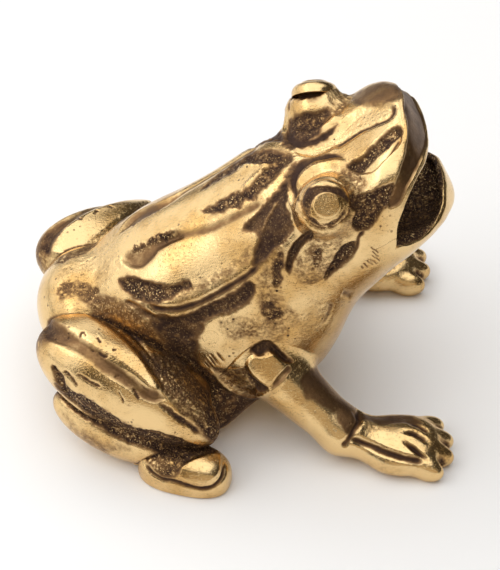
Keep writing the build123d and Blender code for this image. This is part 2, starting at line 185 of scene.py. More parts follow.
@dataclass(frozen=True)
class Taper:
    """A round mass along a straight line whose radius changes evenly."""

    start: Point
    end: Point
    start_radius: float
    end_radius: float

    def depth(self, points: Array) -> Array:
        """Distance to the nearest place on the line, less the radius there.

        Args:
            points: Places in side, fore and up.

        Returns:
            The field, negative inside.
        """
        start = np.array(self.start)
        run = np.array(self.end) - start
        share = np.clip((points - start) @ run / (run @ run), 0.0, 1.0)
        nearest = start + share[..., None] * run
        radius = self.start_radius + (self.end_radius - self.start_radius) * share
        return np.linalg.norm(points - nearest, axis=-1) - radius


HASH_STEPS = np.array([374761393, 668265263, 2147483647])
HASH_SEED = 1274126177
HASH_MIX = 1103515245
HASH_MASK = 0x7FFFFFFF
HASH_LEVELS = 0xFFFF
HASH_SHIFTS = (13, 16)


def lattice_noise(points: Array, size: float, seed: int) -> Array:
    """Value noise: a hashed number at each corner of a cubic lattice, blended with soft steps between.

    Args:
        points: Places in millimetres, one per row.
        size: Edge of a lattice cell.
        seed: Chooses another pattern.

    Returns:
        A number from -1 to 1 for each place.
    """
    scaled = points / size
    cell = np.floor(scaled).astype(np.int64)
    t = scaled - cell
    t = t * t * (3.0 - 2.0 * t)
    total = np.zeros(len(points))
    for corner in range(8):
        step = np.array([corner & 1, corner >> 1 & 1, corner >> 2 & 1])
        key = (cell + step) @ HASH_STEPS + seed * HASH_SEED
        key = (key ^ (key >> HASH_SHIFTS[0])) * HASH_MIX & HASH_MASK
        key = (key ^ (key >> HASH_SHIFTS[1])) & HASH_LEVELS
        weight = np.where(step == 1, t, 1.0 - t).prod(axis=-1)
        total += weight * (2.0 * key / HASH_LEVELS - 1.0)
    return total


# The camera of the photograph, which also places the carving

@dataclass(frozen=True)
class PictureCamera:
    """A camera on the figure's right side, with its aim and its scale in picture elements."""

    elevation: float = 43.5
    azimuth: float = -93.0
    distance: float = 830.0
    aim: Point = (0.0, -1.9, 34.0)
    aim_pixel: Pixel = (250.0, 278.5)
    pixels_per_mm: float = 3.75
    nearest: float = 0.01

    def axes(self) -> tuple[Array, Array, Array]:
        """Turns the azimuth and the elevation into directions.

        Returns:
            The camera's right, its up and the way back from its aim, in x, y and z.
        """
        a, e = math.radians(self.azimuth), math.radians(self.elevation)
        back = np.array([math.sin(a) * math.cos(e), -math.cos(a) * math.cos(e), math.sin(e)])
        right = np.cross((0.0, 0.0, 1.0), back)
        right /= np.linalg.norm(right)
        return right, np.cross(back, right), back

    def eye(self) -> Array:
        """Where the camera stands, in x, y and z."""
        return np.array(self.aim) + self.axes()[2] * self.distance

    def pixels(self, points: Array) -> Array:
        """The picture place of each point: its offsets over its depth, times the focal length.

        Args:
            points: Places in x, y and z.

        Returns:
            Column and row in the picture.
        """
        right, up, back = self.axes()
        away = points - self.eye()
        focal = self.pixels_per_mm * self.distance
        depth = -(away @ back)
        column = self.aim_pixel[0] + focal * (away @ right) / depth
        row = self.aim_pixel[1] - focal * (away @ up) / depth
        return np.stack([column, row], axis=-1)

    def facing(self, points: Array, normals: Array) -> Array:
        """The cosine between each normal and the line to the camera.

        Args:
            points: Places in x, y and z.
            normals: Their unit normals.

        Returns:
            The cosine at each place.
        """
        line = self.eye() - points
        line /= np.linalg.norm(line, axis=-1, keepdims=True)
        return (line * normals).sum(axis=-1)

    def place(self) -> None:
        """Makes the scene's camera with the same view."""
        data = bpy.data.cameras.new("picture_camera")
        camera = bpy.data.objects.new("picture_camera", data)
        matrix = np.eye(4)
        matrix[:3, :3] = np.stack(self.axes(), axis=-1)
        matrix[:3, 3] = self.eye() * MM
        camera.matrix_world = Matrix(matrix.tolist())
        width, height = PICTURE
        longest = max(PICTURE)
        data.lens = data.sensor_width * self.pixels_per_mm * self.distance / longest
        data.shift_x = (width / 2 - self.aim_pixel[0]) / longest
        data.shift_y = (self.aim_pixel[1] - height / 2) / longest
        data.clip_start = self.nearest
        bpy.context.scene.collection.objects.link(camera)
        bpy.context.scene.camera = camera


CAMERA = PictureCamera()


# Carving

class Cut(Enum):
    """How a stroke of carving is shaped across its line."""

    SWELL = "a round ridge or groove"
    CREASE = "a sharp ridge or groove"


class Hand(Enum):
    """Which side of the figure a stroke is carved on."""

    BOTH = "traced on the near side and mirrored"
    NEAR = "on the near side only"
    FAR = "on the far side only"


CURVE_RUN = 3.0


def curve(corners: Sequence[Pixel], closed: bool) -> Array:
    """A smooth line through picture places, in runs of about three picture elements.

    Args:
        corners: Places that the line passes.
        closed: Whether the line runs back to its start.

    Returns:
        The line's places, without the start repeated.
    """
    places = np.array(corners, float)
    if closed:
        places = np.concatenate([places[-2:], places, places[:3]])
    knots = lengths_along(places)
    first, last = (knots[2], knots[-3]) if closed else (knots[0], knots[-1])
    where = np.linspace(first, last, max(2, int((last - first) / CURVE_RUN)), endpoint=not closed)
    return np.stack([stations(where, knots, places[:, i]) for i in range(2)], axis=-1)


def nearest_run(pixels: Array, path: Array, run: Array) -> tuple[Array, Array, Array]:
    """The nearest run of a line to each place: the least distance to all its runs.

    Args:
        pixels: Picture places, one per row.
        path: Where the runs start.
        run: Each run from its start to its end.

    Returns:
        The run's number, the distance to it and the share along it.
    """
    away = pixels[:, None] - path[None]
    share = np.clip((away * run).sum(-1) / (run * run).sum(-1), 0.0, 1.0)
    gap = np.linalg.norm(away - share[..., None] * run, axis=-1)
    nearest = gap.argmin(axis=1)
    rows = np.arange(len(pixels))
    return nearest, gap[rows, nearest], share[rows, nearest]


@dataclass(frozen=True)
class Stroke:
    """One stroke of carving, or of patina and painted shade, along a line of picture places.

    The width is half the stroke's width in picture elements, the depth is millimetres out of the skin, and
    the patina with its painted shade and the grain are laid on in the same shape. The ends fade over a
    share of the length, and the crumble is how far the edge strays.
    """

    REACH: ClassVar[float] = 3.6
    CREASE_FALL: ClassVar[float] = 1.6
    FADE_START: ClassVar[float] = -0.25

    line: tuple[Pixel, ...]
    width: float
    depth: float
    cut: Cut = Cut.SWELL
    patina_and_shade: float = 0.0
    grain: float = 0.0
    fade: float = 0.2
    crumble: float = 0.4
    hand: Hand = Hand.BOTH

    def bounds(self) -> tuple[Array, Array]:
        """The least and the greatest picture place that the stroke touches."""
        path = curve(self.line, False)
        return path.min(axis=0) - self.REACH * self.width, path.max(axis=0) + self.REACH * self.width

    def lay(self, pixels: Array, wobble: Array) -> tuple[Array, Array, Array]:
        """The stroke's height, patina with painted shade, and grain: a bell of the distance from its line,
        or a sharp peak.

        Args:
            pixels: Picture places, one per row.
            wobble: How far each place's edge strays, in picture elements.

        Returns:
            Height in millimetres, patina with painted shade, and grain.
        """
        path = curve(self.line, False)
        run = np.diff(path, axis=0)
        nearest, gap, share = nearest_run(pixels, path[:-1], run)
        distance = np.maximum(gap + self.crumble * wobble, 0.0) / self.width
        along = (nearest + share) / len(run)
        ends = smooth(np.minimum(along, 1.0 - along), self.FADE_START * self.fade, self.fade)
        stain_and_shade = np.exp(-distance ** 2)
        form = stain_and_shade if self.cut is Cut.SWELL else np.exp(-self.CREASE_FALL * distance)
        return form * ends * self.depth, stain_and_shade * ends * self.patina_and_shade, stain_and_shade * ends * self.grain


@dataclass(frozen=True)
class Patch:
    """A raised or sunken patch inside a closed line of picture places.

    The edge is the width of its wall in picture elements. The depth is millimetres out of the skin, and the
    patina with its painted shade and the grain are laid on inside, with a thin halo of patina and painted
    shade outside. The crumble is how far the wall strays.
    """

    HALO_WIDTH: ClassVar[float] = 10.0
    HALO_END: ClassVar[float] = 2.0
    HALO_SHARE: ClassVar[float] = 0.32
    WALL_SHARES: ClassVar[Step] = (-0.5, 1.2)
    STAIN_AND_SHADE_SHARES: ClassVar[Step] = (-0.9, 0.9)

    outline: tuple[Pixel, ...]
    depth: float
    edge: float = 3.0
    patina_and_shade: float = 0.0
    grain: float = 0.0
    crumble: float = 0.8
    hand: Hand = Hand.BOTH

    def bounds(self) -> tuple[Array, Array]:
        """The box of its outline with room for the halo.

        Returns:
            The least and the greatest picture place that the patch touches.
        """
        path = curve(self.outline, True)
        margin = self.edge + self.HALO_WIDTH
        return path.min(axis=0) - margin, path.max(axis=0) + margin

    def lay(self, pixels: Array, wobble: Array) -> tuple[Array, Array, Array]:
        """The patch's height, patina with painted shade, and grain: soft steps of the distance inside its
        outline.

        A place is inside if a level ray from it crosses the outline an odd number of times.

        Args:
            pixels: Picture places, one per row.
            wobble: How far each place's edge strays, in picture elements.

        Returns:
            Height in millimetres, patina with painted shade, and grain.
        """
        path = curve(self.outline, True)
        run = np.roll(path, -1, axis=0) - path
        _, gap, _ = nearest_run(pixels, path, run)
        above = path[None, :, 1] > pixels[:, 1:]
        level = (pixels[:, 1:] - path[None, :, 1]) / np.where(run[:, 1] == 0.0, TINY, run[:, 1])
        ahead = pixels[:, :1] < path[None, :, 0] + level * run[:, 0]
        crossed = (above != np.roll(above, -1, axis=1)) & ahead
        inside = np.where(crossed.sum(axis=1) % 2 == 1, gap, -gap) + self.crumble * wobble
        form = smooth(inside, *(share * self.edge for share in self.WALL_SHARES))
        core = smooth(inside, *(share * self.edge for share in self.STAIN_AND_SHADE_SHARES))
        halo = smooth(inside, -self.HALO_WIDTH, self.HALO_END)
        stain_and_shade = (1.0 - self.HALO_SHARE) * core + self.HALO_SHARE * halo
        return form * self.depth, stain_and_shade * self.patina_and_shade, form * self.grain


@dataclass(frozen=True)
class Carving:
    """All the strokes on one casting, and the as-cast texture under them.

    A step is where a soft step starts and ends, and a noise is its cell's size in millimetres and its seed.
    The mottle is the mean share of the patina and painted shade, and how far it varies.
    """

    strokes: tuple[Stroke | Patch, ...] = ()
    ripple: float = 0.10
    ripple_noise: Noise = (7.0, 3)
    crumb: float = 0.16
    crumb_noise: Noise = (0.9, 5)
    fine_crumb_noise: Noise = (0.45, 8)
    fine_crumb_share: float = 0.6
    patina_and_shade: float = 0.0
    grain: float = 0.0
    facing: Step = (0.02, 0.22)
    past_middle: Step = (-5.0, -2.0)
    edge_noise: Noise = (1.5, 11)
    fine_edge_noise: Noise = (0.7, 13)
    fine_edge_share: float = 0.7
    mottle: tuple[float, float] = (1.05, 0.25)
    mottle_noise: Noise = (2.8, 17)
    lining_depth: Step = (0.9, 2.0)
    lining_grain: float = 0.9
    shelter_gaps: tuple[float, ...] = (1.2, 2.5, 5.0)
    shelter_step: Step = (0.30, 0.85)
    shelter_grain: float = 0.7
    rubbed: float = 0.7
    rubbed_from: float = 0.1

    def views(self, points: Array, normals: Array, right: Array, right_normals: Array) -> Views:
        """Where the carving of each hand is read, and how far the skin there faces the camera.

        Args:
            points: Places in x, y and z.
            normals: Their unit normals.
            right: The same places brought over to the right side.
            right_normals: The normals there.

        Returns:
            For each hand, the picture places and the strength of the carving at them.
        """
        pixels = CAMERA.pixels(points)
        seen = smooth(CAMERA.facing(points, normals), *self.facing)
        return {
            Hand.BOTH: (CAMERA.pixels(right), smooth(CAMERA.facing(right, right_normals), *self.facing)),
            Hand.NEAR: (pixels, seen * smooth(-points[:, 0], *self.past_middle)),
            Hand.FAR: (pixels, seen * smooth(points[:, 0], *self.past_middle)),
        }

    def carved(self, views: Views, wobble: Array) -> tuple[Array, Array, Array]:
        """Lays all the strokes: heights add up, and the strongest patina with painted shade and the
        strongest grain at a place count.

        Args:
            views: For each hand, the picture places and the strength of the carving at them.
            wobble: How far each place's edge strays, in picture elements.

        Returns:
            Height in millimetres, patina with painted shade, and grain.
        """
        height, patina_and_shade, grain = (np.full(len(wobble), value) for value in (0.0, self.patina_and_shade, self.grain))
        for stroke in self.strokes:
            pixels, seen = views[stroke.hand]
            low, high = stroke.bounds()
            near = np.flatnonzero(((pixels > low) & (pixels < high)).all(axis=-1) & (seen > 0))
            if len(near):
                raised, laid_stain_and_shade, rough = stroke.lay(pixels[near], wobble[near])
                height[near] += raised * seen[near]
                if stroke.patina_and_shade < 0:
                    patina_and_shade[near] += laid_stain_and_shade * seen[near]
                else:
                    patina_and_shade[near] = np.maximum(patina_and_shade[near], laid_stain_and_shade * seen[near])
                grain[near] = np.maximum(grain[near], rough * seen[near])
        return height, patina_and_shade, grain

    def sheltered(self, places: Array, outward: Array, everything: Field) -> Array:
        """How far the neighbouring masses shelter the skin: how slowly the field grows away from it.

        Args:
            places: Places on the skin in side, fore and up.
            outward: Their unit normals.
            everything: The field of the whole figure.

        Returns:
            A share from 0 to 1 for each place.
        """
        shelter = np.zeros(len(places))
        for gap in self.shelter_gaps:
            shelter += np.clip(1.0 - everything(places + outward * gap) / gap, 0.0, 1.0)
        return smooth(shelter / len(self.shelter_gaps), *self.shelter_step)

    def apply(self, piece: bpy.types.Object, everything: Field) -> None:
        """Moves the skin along its normals and stores its patina with painted shade, and its grain, as
        attributes.

        The height is the sum of the strokes, a slow ripple and a fine crumb where the metal is as cast. The
        patina and painted shade add the shelter, which darkens the creases, and what lies deep inside the
        figure, which is the mouth's lining.

        Args:
            piece: The casting, whose mesh is in metres.
            everything: The field of the whole figure.
        """
        mesh = piece.data
        count = len(mesh.vertices)
        points = np.empty(count * 3, np.float32)
        mesh.vertices.foreach_get("co", points)
        points = points.reshape(-1, 3).astype(float) / MM
        normals = np.empty(count * 3, np.float32)
        mesh.vertex_normals.foreach_get("vector", normals)
        normals = normals.reshape(-1, 3).astype(float)
        left = points[:, 0] > 0
        flip = np.where(left[:, None], -1.0, 1.0) * np.array([1.0, 0.0, 0.0]) + np.array([0.0, 1.0, 1.0])
        right, right_normals = points * flip, normals * flip
        views = self.views(points, normals, right, right_normals)
        wobble = lattice_noise(right, *self.edge_noise)
        wobble += self.fine_edge_share * lattice_noise(right, *self.fine_edge_noise)
        height, patina_and_shade, grain = self.carved(views, wobble)
        patina_and_shade *= self.mottle[0] + self.mottle[1] * lattice_noise(right, *self.mottle_noise)
        folded = folding(right)
        lining = smooth(-everything(folded), *self.lining_depth)
        # The shelter darkens and roughens the creases between the masses: partly patina, partly painted
        # shade
        shelter = self.sheltered(folded, folding_direction(right_normals), everything)
        patina_and_shade = np.clip(patina_and_shade + shelter + lining, 0.0, 1.0)
        grain = np.clip(grain + self.shelter_grain * shelter + self.lining_grain * lining, 0.0, 1.0)
        height += self.ripple * lattice_noise(right, *self.ripple_noise)
        crumbs = lattice_noise(right, *self.crumb_noise)
        crumbs += self.fine_crumb_share * lattice_noise(right, *self.fine_crumb_noise)
        height += self.crumb * grain * crumbs
        patina_and_shade = patina_and_shade - self.rubbed * grain * np.maximum(crumbs - self.rubbed_from, 0.0)
        moved = (points + normals * height[:, None]) * MM
        moved[:, 2] = np.maximum(moved[:, 2], 0.0)
        mesh.vertices.foreach_set("co", moved.astype(np.float32).ravel())
        for name, values in (("patina_and_shade", patina_and_shade), ("grain", grain)):
            layer = mesh.attributes.new(name, "FLOAT", "POINT")
            layer.data.foreach_set("value", values.astype(np.float32))
        mesh.update()


def folding(points: Array) -> Array:
    """x, y and z to side, fore and up on one side: both halves of the figure are alike."""
    return np.stack([np.abs(points[:, 0]), -points[:, 1], points[:, 2]], axis=-1)


def folding_direction(right_normals: Array) -> Array:
    """Normals of the right side to side, fore and up."""
    return right_normals * np.array([-1.0, -1.0, 1.0])


# Skins

RAY_STEPS = 40
RAY_HALVINGS = 12


def reach(depth: Field, origins: Array, directions: Array, far: float) -> Array:
    """How far each ray runs before it leaves the metal: even steps outward, then halving.

    Args:
        depth: The field, negative in the metal.
        origins: Where the rays start, one per row.
        directions: Their unit directions.
        far: The longest run.

    Returns:
        The run of each ray.
    """
    inner, outer = np.zeros(len(origins)), np.full(len(origins), far)
    live = np.arange(len(origins))
    for step in np.linspace(0.0, far, RAY_STEPS + 1)[1:]:
        left = depth(origins[live] + directions[live] * step) > 0
        outer[live[left]] = step
        inner[live[~left]] = step
        live = live[~left]
        if not len(live):
            break
    for _ in range(RAY_HALVINGS):
        middle = (inner + outer) / 2
        left = depth(origins + directions * middle[:, None]) > 0
        outer, inner = np.where(left, middle, outer), np.where(left, inner, middle)
    return (inner + outer) / 2


STEEP = 0.9
ASIDE = (0.3, 0.1, 1.0)
ASIDE_OF_STEEP = (1.0, 0.0, 0.0)


def star(depth: Field, middle: Point, pole: Array, far: float, rows: int, columns: int) -> Array:
    """A closed skin round one point: rays by polar angle from a pole and by turn round it.

    Args:
        depth: The field of the casting.
        middle: The point inside it.
        pole: The direction of its long axis.
        far: The longest ray.
        rows: Polar steps.
        columns: Steps round.

    Returns:
        Points in rows and columns, with the poles as first and last rows.
    """
    pole = pole / np.linalg.norm(pole)
    first = np.cross(pole, ASIDE if abs(pole[2]) < STEEP else ASIDE_OF_STEEP)
    first /= np.linalg.norm(first)
    second = np.cross(pole, first)
    polar = np.linspace(0.0, math.pi, rows)[:, None, None]
    turn = full_turn(columns)
    rays = np.cos(polar) * pole + np.sin(polar) * (np.cos(turn) * first + np.sin(turn) * second)
    rays = rays.reshape(-1, 3)
    origins = np.broadcast_to(np.array(middle), rays.shape)
    run = reach(depth, origins, rays, far)
    return (origins + rays * run[:, None]).reshape(rows, columns, 3)


def sleeve(depth: Field, path: Array, far: float, sink: Array, columns: int) -> Array:
    """A closed skin round a line: rays square to the line, and flat ends.

    Args:
        depth: The field of the casting.
        path: The line's places, one per row.
        far: The longest ray.
        sink: How far the skin is sunk at each place.
        columns: Steps round.

    Returns:
        Points in rows and columns, with the line's ends as first and last rows.
    """
    along = np.gradient(path, axis=0)
    along /= np.linalg.norm(along, axis=-1, keepdims=True)
    side = np.cross(along, (0.0, 0.0, 1.0))
    side /= np.linalg.norm(side, axis=-1, keepdims=True)
    rise = np.cross(side, along)
    turn = full_turn(columns)
    rays = np.cos(turn) * side[:, None] + np.sin(turn) * rise[:, None]
    origins = np.broadcast_to(path[:, None], rays.shape)
    run = reach(depth, origins.reshape(-1, 3), rays.reshape(-1, 3), far).reshape(rays.shape[:2])
    skin = origins + rays * (run - sink[:, None])[..., None]
    ends = np.broadcast_to(path[[0, -1], None], (2, columns, 3))
    return np.concatenate([ends[:1], skin, ends[1:]])


def lap_sink(over: Array) -> Array:
    """How far a casting's edge sinks under its neighbour: a share of the square of its lap."""
    return LAP_SINK * np.maximum(over, 0.0) ** 2


def cast_piece(name: str, grid: Array, ring: bool, left: bool = False) -> bpy.types.Object:
    """Makes a casting's mesh from a grid of points in side, fore and up.

    Equal points are merged, so that poles and seams close, and the faces are turned outward.

    Args:
        name: The piece's name.
        grid: Points in rows and columns.
        ring: Whether the last column joins the first.
        left: Whether to make the mirror image, on the left side.

    Returns:
        The piece, with its place in its mesh.
    """
    rows, columns = grid.shape[:2]
    index = np.arange(rows * columns).reshape(rows, columns)
    across = np.concatenate([index, index[:, :1]], axis=1) if ring else index
    corners = (across[:-1, :-1], across[:-1, 1:], across[1:, 1:], across[1:, :-1])
    quads = np.stack(corners, axis=-1).reshape(-1, 4)
    places = grid.reshape(-1, 3) * np.array([1.0 if left else -1.0, -1.0, 1.0]) * MM
    mesh = bpy.data.meshes.new(name)
    mesh.from_pydata(places.tolist(), [], quads.tolist())
    work = bmesh.new()
    work.from_mesh(mesh)
    bmesh.ops.remove_doubles(work, verts=work.verts, dist=MERGE)
    bmesh.ops.recalc_face_normals(work, faces=work.faces)
    work.to_mesh(mesh)
    work.free()
    mesh.shade_smooth()
    piece = bpy.data.objects.new(name, mesh)
    bpy.context.scene.collection.objects.link(piece)
    return piece


# The masses of the figure

@dataclass(frozen=True)
class BackLine:
    """The straight line of the back, which climbs from the rump: its rear end and its pitch."""

    fore: float = -50.6
    up: float = 30.96
    pitch: float = 32.0

    def into(self, points: Array) -> Array:
        """Turns places about the line's rear end, onto the line.

        Args:
            points: Places in side, fore and up.

        Returns:
            Side, along the line and above it.
        """
        c, s = math.cos(math.radians(self.pitch)), math.sin(math.radians(self.pitch))
        fore, up = points[..., 1] - self.fore, points[..., 2] - self.up
        return np.stack([points[..., 0], fore * c + up * s, up * c - fore * s], axis=-1)

    def out(self, body: Array) -> Array:
        """Turns places off the line again.

        Args:
            body: Places in side, along the line and above it.

        Returns:
            Side, fore and up.
        """
        c, s = math.cos(math.radians(self.pitch)), math.sin(math.radians(self.pitch))
        along, above = body[..., 1], body[..., 2]
        return np.stack(
            [body[..., 0], self.fore + along * c - above * s, self.up + along * s + above * c], axis=-1)


BACK = BackLine()


@dataclass(frozen=True)
class Trunk:
    """Torso, head and lower jaw as one run of sections along the back line.

    A section is two superellipse arches on a middle line, one up to the crown and one down to the keel.
    Each upper row gives the place along, half width, height of the middle line, crown above it and
    squareness; each lower row the place along, half width, keel below the middle line and squareness.
    """

    upper: tuple[tuple[float, ...], ...] = (
        (0.0, 3.0, -9.9, 2.7, 2.0),
        (1.4, 7.0, -10.2, 6.6, 2.0),
        (4.9, 11.5, -12.1, 11.2, 2.0),
        (10.5, 16.5, -15.6, 17.2, 2.2),
        (20.3, 22.0, -21.0, 25.3, 2.4),
        (30.8, 24.7, -23.8, 29.5, 2.25),
        (41.3, 25.0, -23.4, 29.6, 2.1),
        (51.1, 24.7, -21.3, 27.4, 2.1),
        (60.2, 24.0, -18.1, 24.6, 2.2),
        (70.0, 23.0, -15.6, 22.0, 2.5),
        (78.0, 23.3, -15.6, 20.8, 2.9),
        (86.0, 23.4, -15.6, 19.2, 3.2),
        (93.9, 23.2, -15.6, 18.5, 3.6),
        (101.1, 21.8, -15.6, 19.2, 4.0),
        (105.8, 18.4, -15.6, 19.2, 4.2),
        (108.6, 14.4, -15.6, 18.8, 4.2),
        (110.4, 9.2, -15.6, 18.2, 4.0),
        (111.0, 4.2, -15.6, 17.2, 3.8),
    )
    lower: tuple[tuple[float, ...], ...] = (
        (0.0, 3.0, 2.7, 2.0),
        (1.4, 7.0, 6.6, 2.0),
        (4.9, 11.5, 11.2, 2.0),
        (10.5, 16.5, 16.8, 2.1),
        (20.3, 22.0, 24.9, 2.2),
        (30.8, 24.7, 29.5, 2.3),
        (41.3, 25.0, 31.4, 2.5),
        (51.1, 24.7, 32.6, 2.6),
        (60.2, 24.0, 30.4, 2.6),
        (70.0, 23.0, 25.4, 2.4),
        (79.9, 23.3, 20.8, 2.3),
        (88.3, 23.3, 17.4, 2.3),
        (93.0, 22.6, 16.6, 2.3),
        (96.0, 21.2, 16.2, 2.3),
        (100.7, 18.2, 15.7, 2.3),
        (104.3, 14.2, 15.0, 2.3),
        (106.3, 9.2, 14.1, 2.3),
        (107.2, 4.0, 13.0, 2.3),
    )
    lid: Ball = Ball((18.6, 20.4, 75.9), (7.8, 8.4, 7.6), pitch=32.0)
    web: Ball = Ball((18.0, -13.0, 7.5), (11.5, 12.0, 6.5), swing=20.0)
    rump: Ball = Ball((0.0, -41.5, 27.0), (17.0, 13.7, 13.7))
    web_fillet: float = 8.0
    fillet: float = 3.0
    rear_round: float = 2.0
    front_round: float = 1.2

    def middle_line(self, along: Array) -> Array:
        """How far the middle line lies above the back line, at places along it."""
        places, _, middles, _, _ = np.array(self.upper).T
        return stations(along, places, middles)

    def depth(self, points: Array) -> Array:
        """The superellipse norm less 1, times the lesser half size, with flat ends and the balls joined on.

        Args:
            points: Places in side, fore and up.

        Returns:
            The field of the trunk, negative inside.
        """
        side, along, above = np.moveaxis(BACK.into(points), -1, 0)
        high = above - self.middle_line(along)
        top = high > 0
        places, widths, _, crowns, powers = np.array(self.upper).T
        low_places, low_widths, keels, low_powers = np.array(self.lower).T
        width = np.where(top, stations(along, places, widths), stations(along, low_places, low_widths))
        tall = np.where(top, stations(along, places, crowns), stations(along, low_places, keels))
        power = np.where(top, stations(along, places, powers), stations(along, low_places, low_powers))
        shares = np.stack([np.abs(side) / width, np.abs(high) / tall]) + TINY
        norm = (shares ** power).sum(axis=0) ** (1.0 / power)
        body = (norm - 1.0) * np.minimum(width, tall)
        body = soft_max(body, -along, self.rear_round)
        body = soft_max(body, along - np.where(top, places[-1], low_places[-1]), self.front_round)
        body = soft_min(body, self.web.depth(points), self.web_fillet)
        body = soft_min(body, self.rump.depth(points), self.fillet)
        return soft_min(body, self.lid.depth(points), self.fillet)


@dataclass(frozen=True)
class Arm:
    """A foreleg and its forefoot as one limb, which ends in four round toes on the floor."""

    shoulder: Taper = Taper((20.6, 4.5, 23.5), (32.8, 24.5, 8.6), 8.6, 5.9)
    forearm: Taper = Taper((32.8, 24.5, 8.2), (35.4, 40.0, 5.4), 5.7, 4.8)
    palm: Ball = Ball((35.4, 40.7, 4.6), (9.5, 10.4, 5.3), swing=6.0, squareness=2.4)
    toes: tuple[Ball, ...] = (
        Ball((27.7, 47.8, 3.0), (2.6, 4.7, 3.6), swing=-4.0),
        Ball((32.8, 49.8, 3.0), (2.6, 4.7, 3.6), swing=6.0),
        Ball((38.1, 49.4, 3.0), (2.6, 4.7, 3.6), swing=15.0),
        Ball((42.8, 46.2, 3.0), (2.8, 4.9, 3.6), swing=26.0),
    )
    fillet: float = 4.0
    web: float = 0.5
    toe_fillet: float = 1.2
    sole_edge: float = 0.5

    def depth(self, points: Array) -> Array:
        """Arm and palm with wide fillets and toes with narrow ones, cut by the floor.

        Args:
            points: Places in side, fore and up.

        Returns:
            The field of the limb, negative inside.
        """
        arm = union([mass.depth(points) for mass in (self.shoulder, self.forearm, self.palm)], self.fillet)
        toes = union([toe.depth(points) for toe in self.toes], self.web)
        return soft_max(soft_min(arm, toes, self.toe_fillet), -points[..., 2], self.sole_edge)


@dataclass(frozen=True)
class Leg:
    """A hind leg's masses: haunch and drumstick of the thigh, the shank under it and the foot."""

    haunch: Ball = Ball((19.0, -31.0, 22.5), (10.0, 23.0, 11.5), pitch=-18.0, swing=18.0)
    drumstick: Ball = Ball((27.8, -31.6, 21.6), (10.0, 26.5, 13.0), pitch=-20.0, swing=23.0)
    lower: Ball = Ball((28.8, -34.0, 9.4), (8.0, 19.5, 8.8), pitch=-10.0, swing=26.0)
    sole: Ball = Ball((39.6, -17.4, 2.8), (7.2, 12.6, 7.6), swing=20.0, squareness=2.5)
    fillet: float = 4.0
    sole_edge: float = 0.6

    def thigh(self, points: Array) -> Array:
        """The field of the thigh: haunch and drumstick with a fillet."""
        return soft_min(self.haunch.depth(points), self.drumstick.depth(points), self.fillet)

    def shank(self, points: Array) -> Array:
        """The field of the shank, cut by the floor."""
        return soft_max(self.lower.depth(points), -points[..., 2], self.sole_edge)

    def foot(self, points: Array) -> Array:
        """The field of the foot, cut by the floor."""
        return soft_max(self.sole.depth(points), -points[..., 2], self.sole_edge)

    def depth(self, points: Array) -> Array:
        """The field of the whole leg."""
        return np.minimum(np.minimum(self.thigh(points), self.shank(points)), self.foot(points))


TRUNK, ARM, LEG = Trunk(), Arm(), Leg()
OPEN_AIR = 99.0


def whole_trunk(points: Array) -> Array:
    """The field of the trunk on both sides of the middle plane."""
    return TRUNK.depth(np.abs(points) * (1.0, 0.0, 0.0) + points * (0.0, 1.0, 1.0))


def trunk_along(body: Array) -> Array:
    """The same field at places in side, along the back line and above it."""
    return whole_trunk(BACK.out(body))


def nothing_near(points: Array) -> Array:
    """The field of open air, for a piece that no other shelters."""
    return np.full(len(points), OPEN_AIR)


def figure(points: Array) -> Array:
    """The field of the whole figure, for the shelter in its creases."""
    return np.minimum(np.minimum(TRUNK.depth(points), ARM.depth(points)), LEG.depth(points))


# Shader trees

class Sock:
    """An output socket of a shader tree, with arithmetic that adds Math nodes."""

    def __init__(self, tree: "Tree", socket: bpy.types.NodeSocket | None) -> None:
        """Keeps the tree and the socket, which the last node of a tree doesn't have."""
        self.tree, self.socket = tree, socket

    def _math(self, operation: str, first: Any, second: Any) -> "Sock":
        """One Math node on two numbers or sockets."""
        return self.tree.node("ShaderNodeMath", {"operation": operation}, {0: first, 1: second})

    def __add__(self, other: Any) -> "Sock":
        """Sum."""
        return self._math("ADD", self, other)

    __radd__ = __add__

    def __sub__(self, other: Any) -> "Sock":
        """Difference."""
        return self._math("SUBTRACT", self, other)

    def __rsub__(self, other: Any) -> "Sock":
        """Difference from a number."""
        return self._math("SUBTRACT", other, self)

    def __mul__(self, other: Any) -> "Sock":
        """Product."""
        return self._math("MULTIPLY", self, other)

    __rmul__ = __mul__

    def step(self, ends: Step) -> "Sock":
        """A soft step from 0 at the first end to 1 at the second."""
        return self.tree.node(
            "ShaderNodeMapRange",
            {"interpolation_type": "SMOOTHSTEP"},
            {"Value": self, "From Min": ends[0], "From Max": ends[1], "To Min": 0.0, "To Max": 1.0},
        )


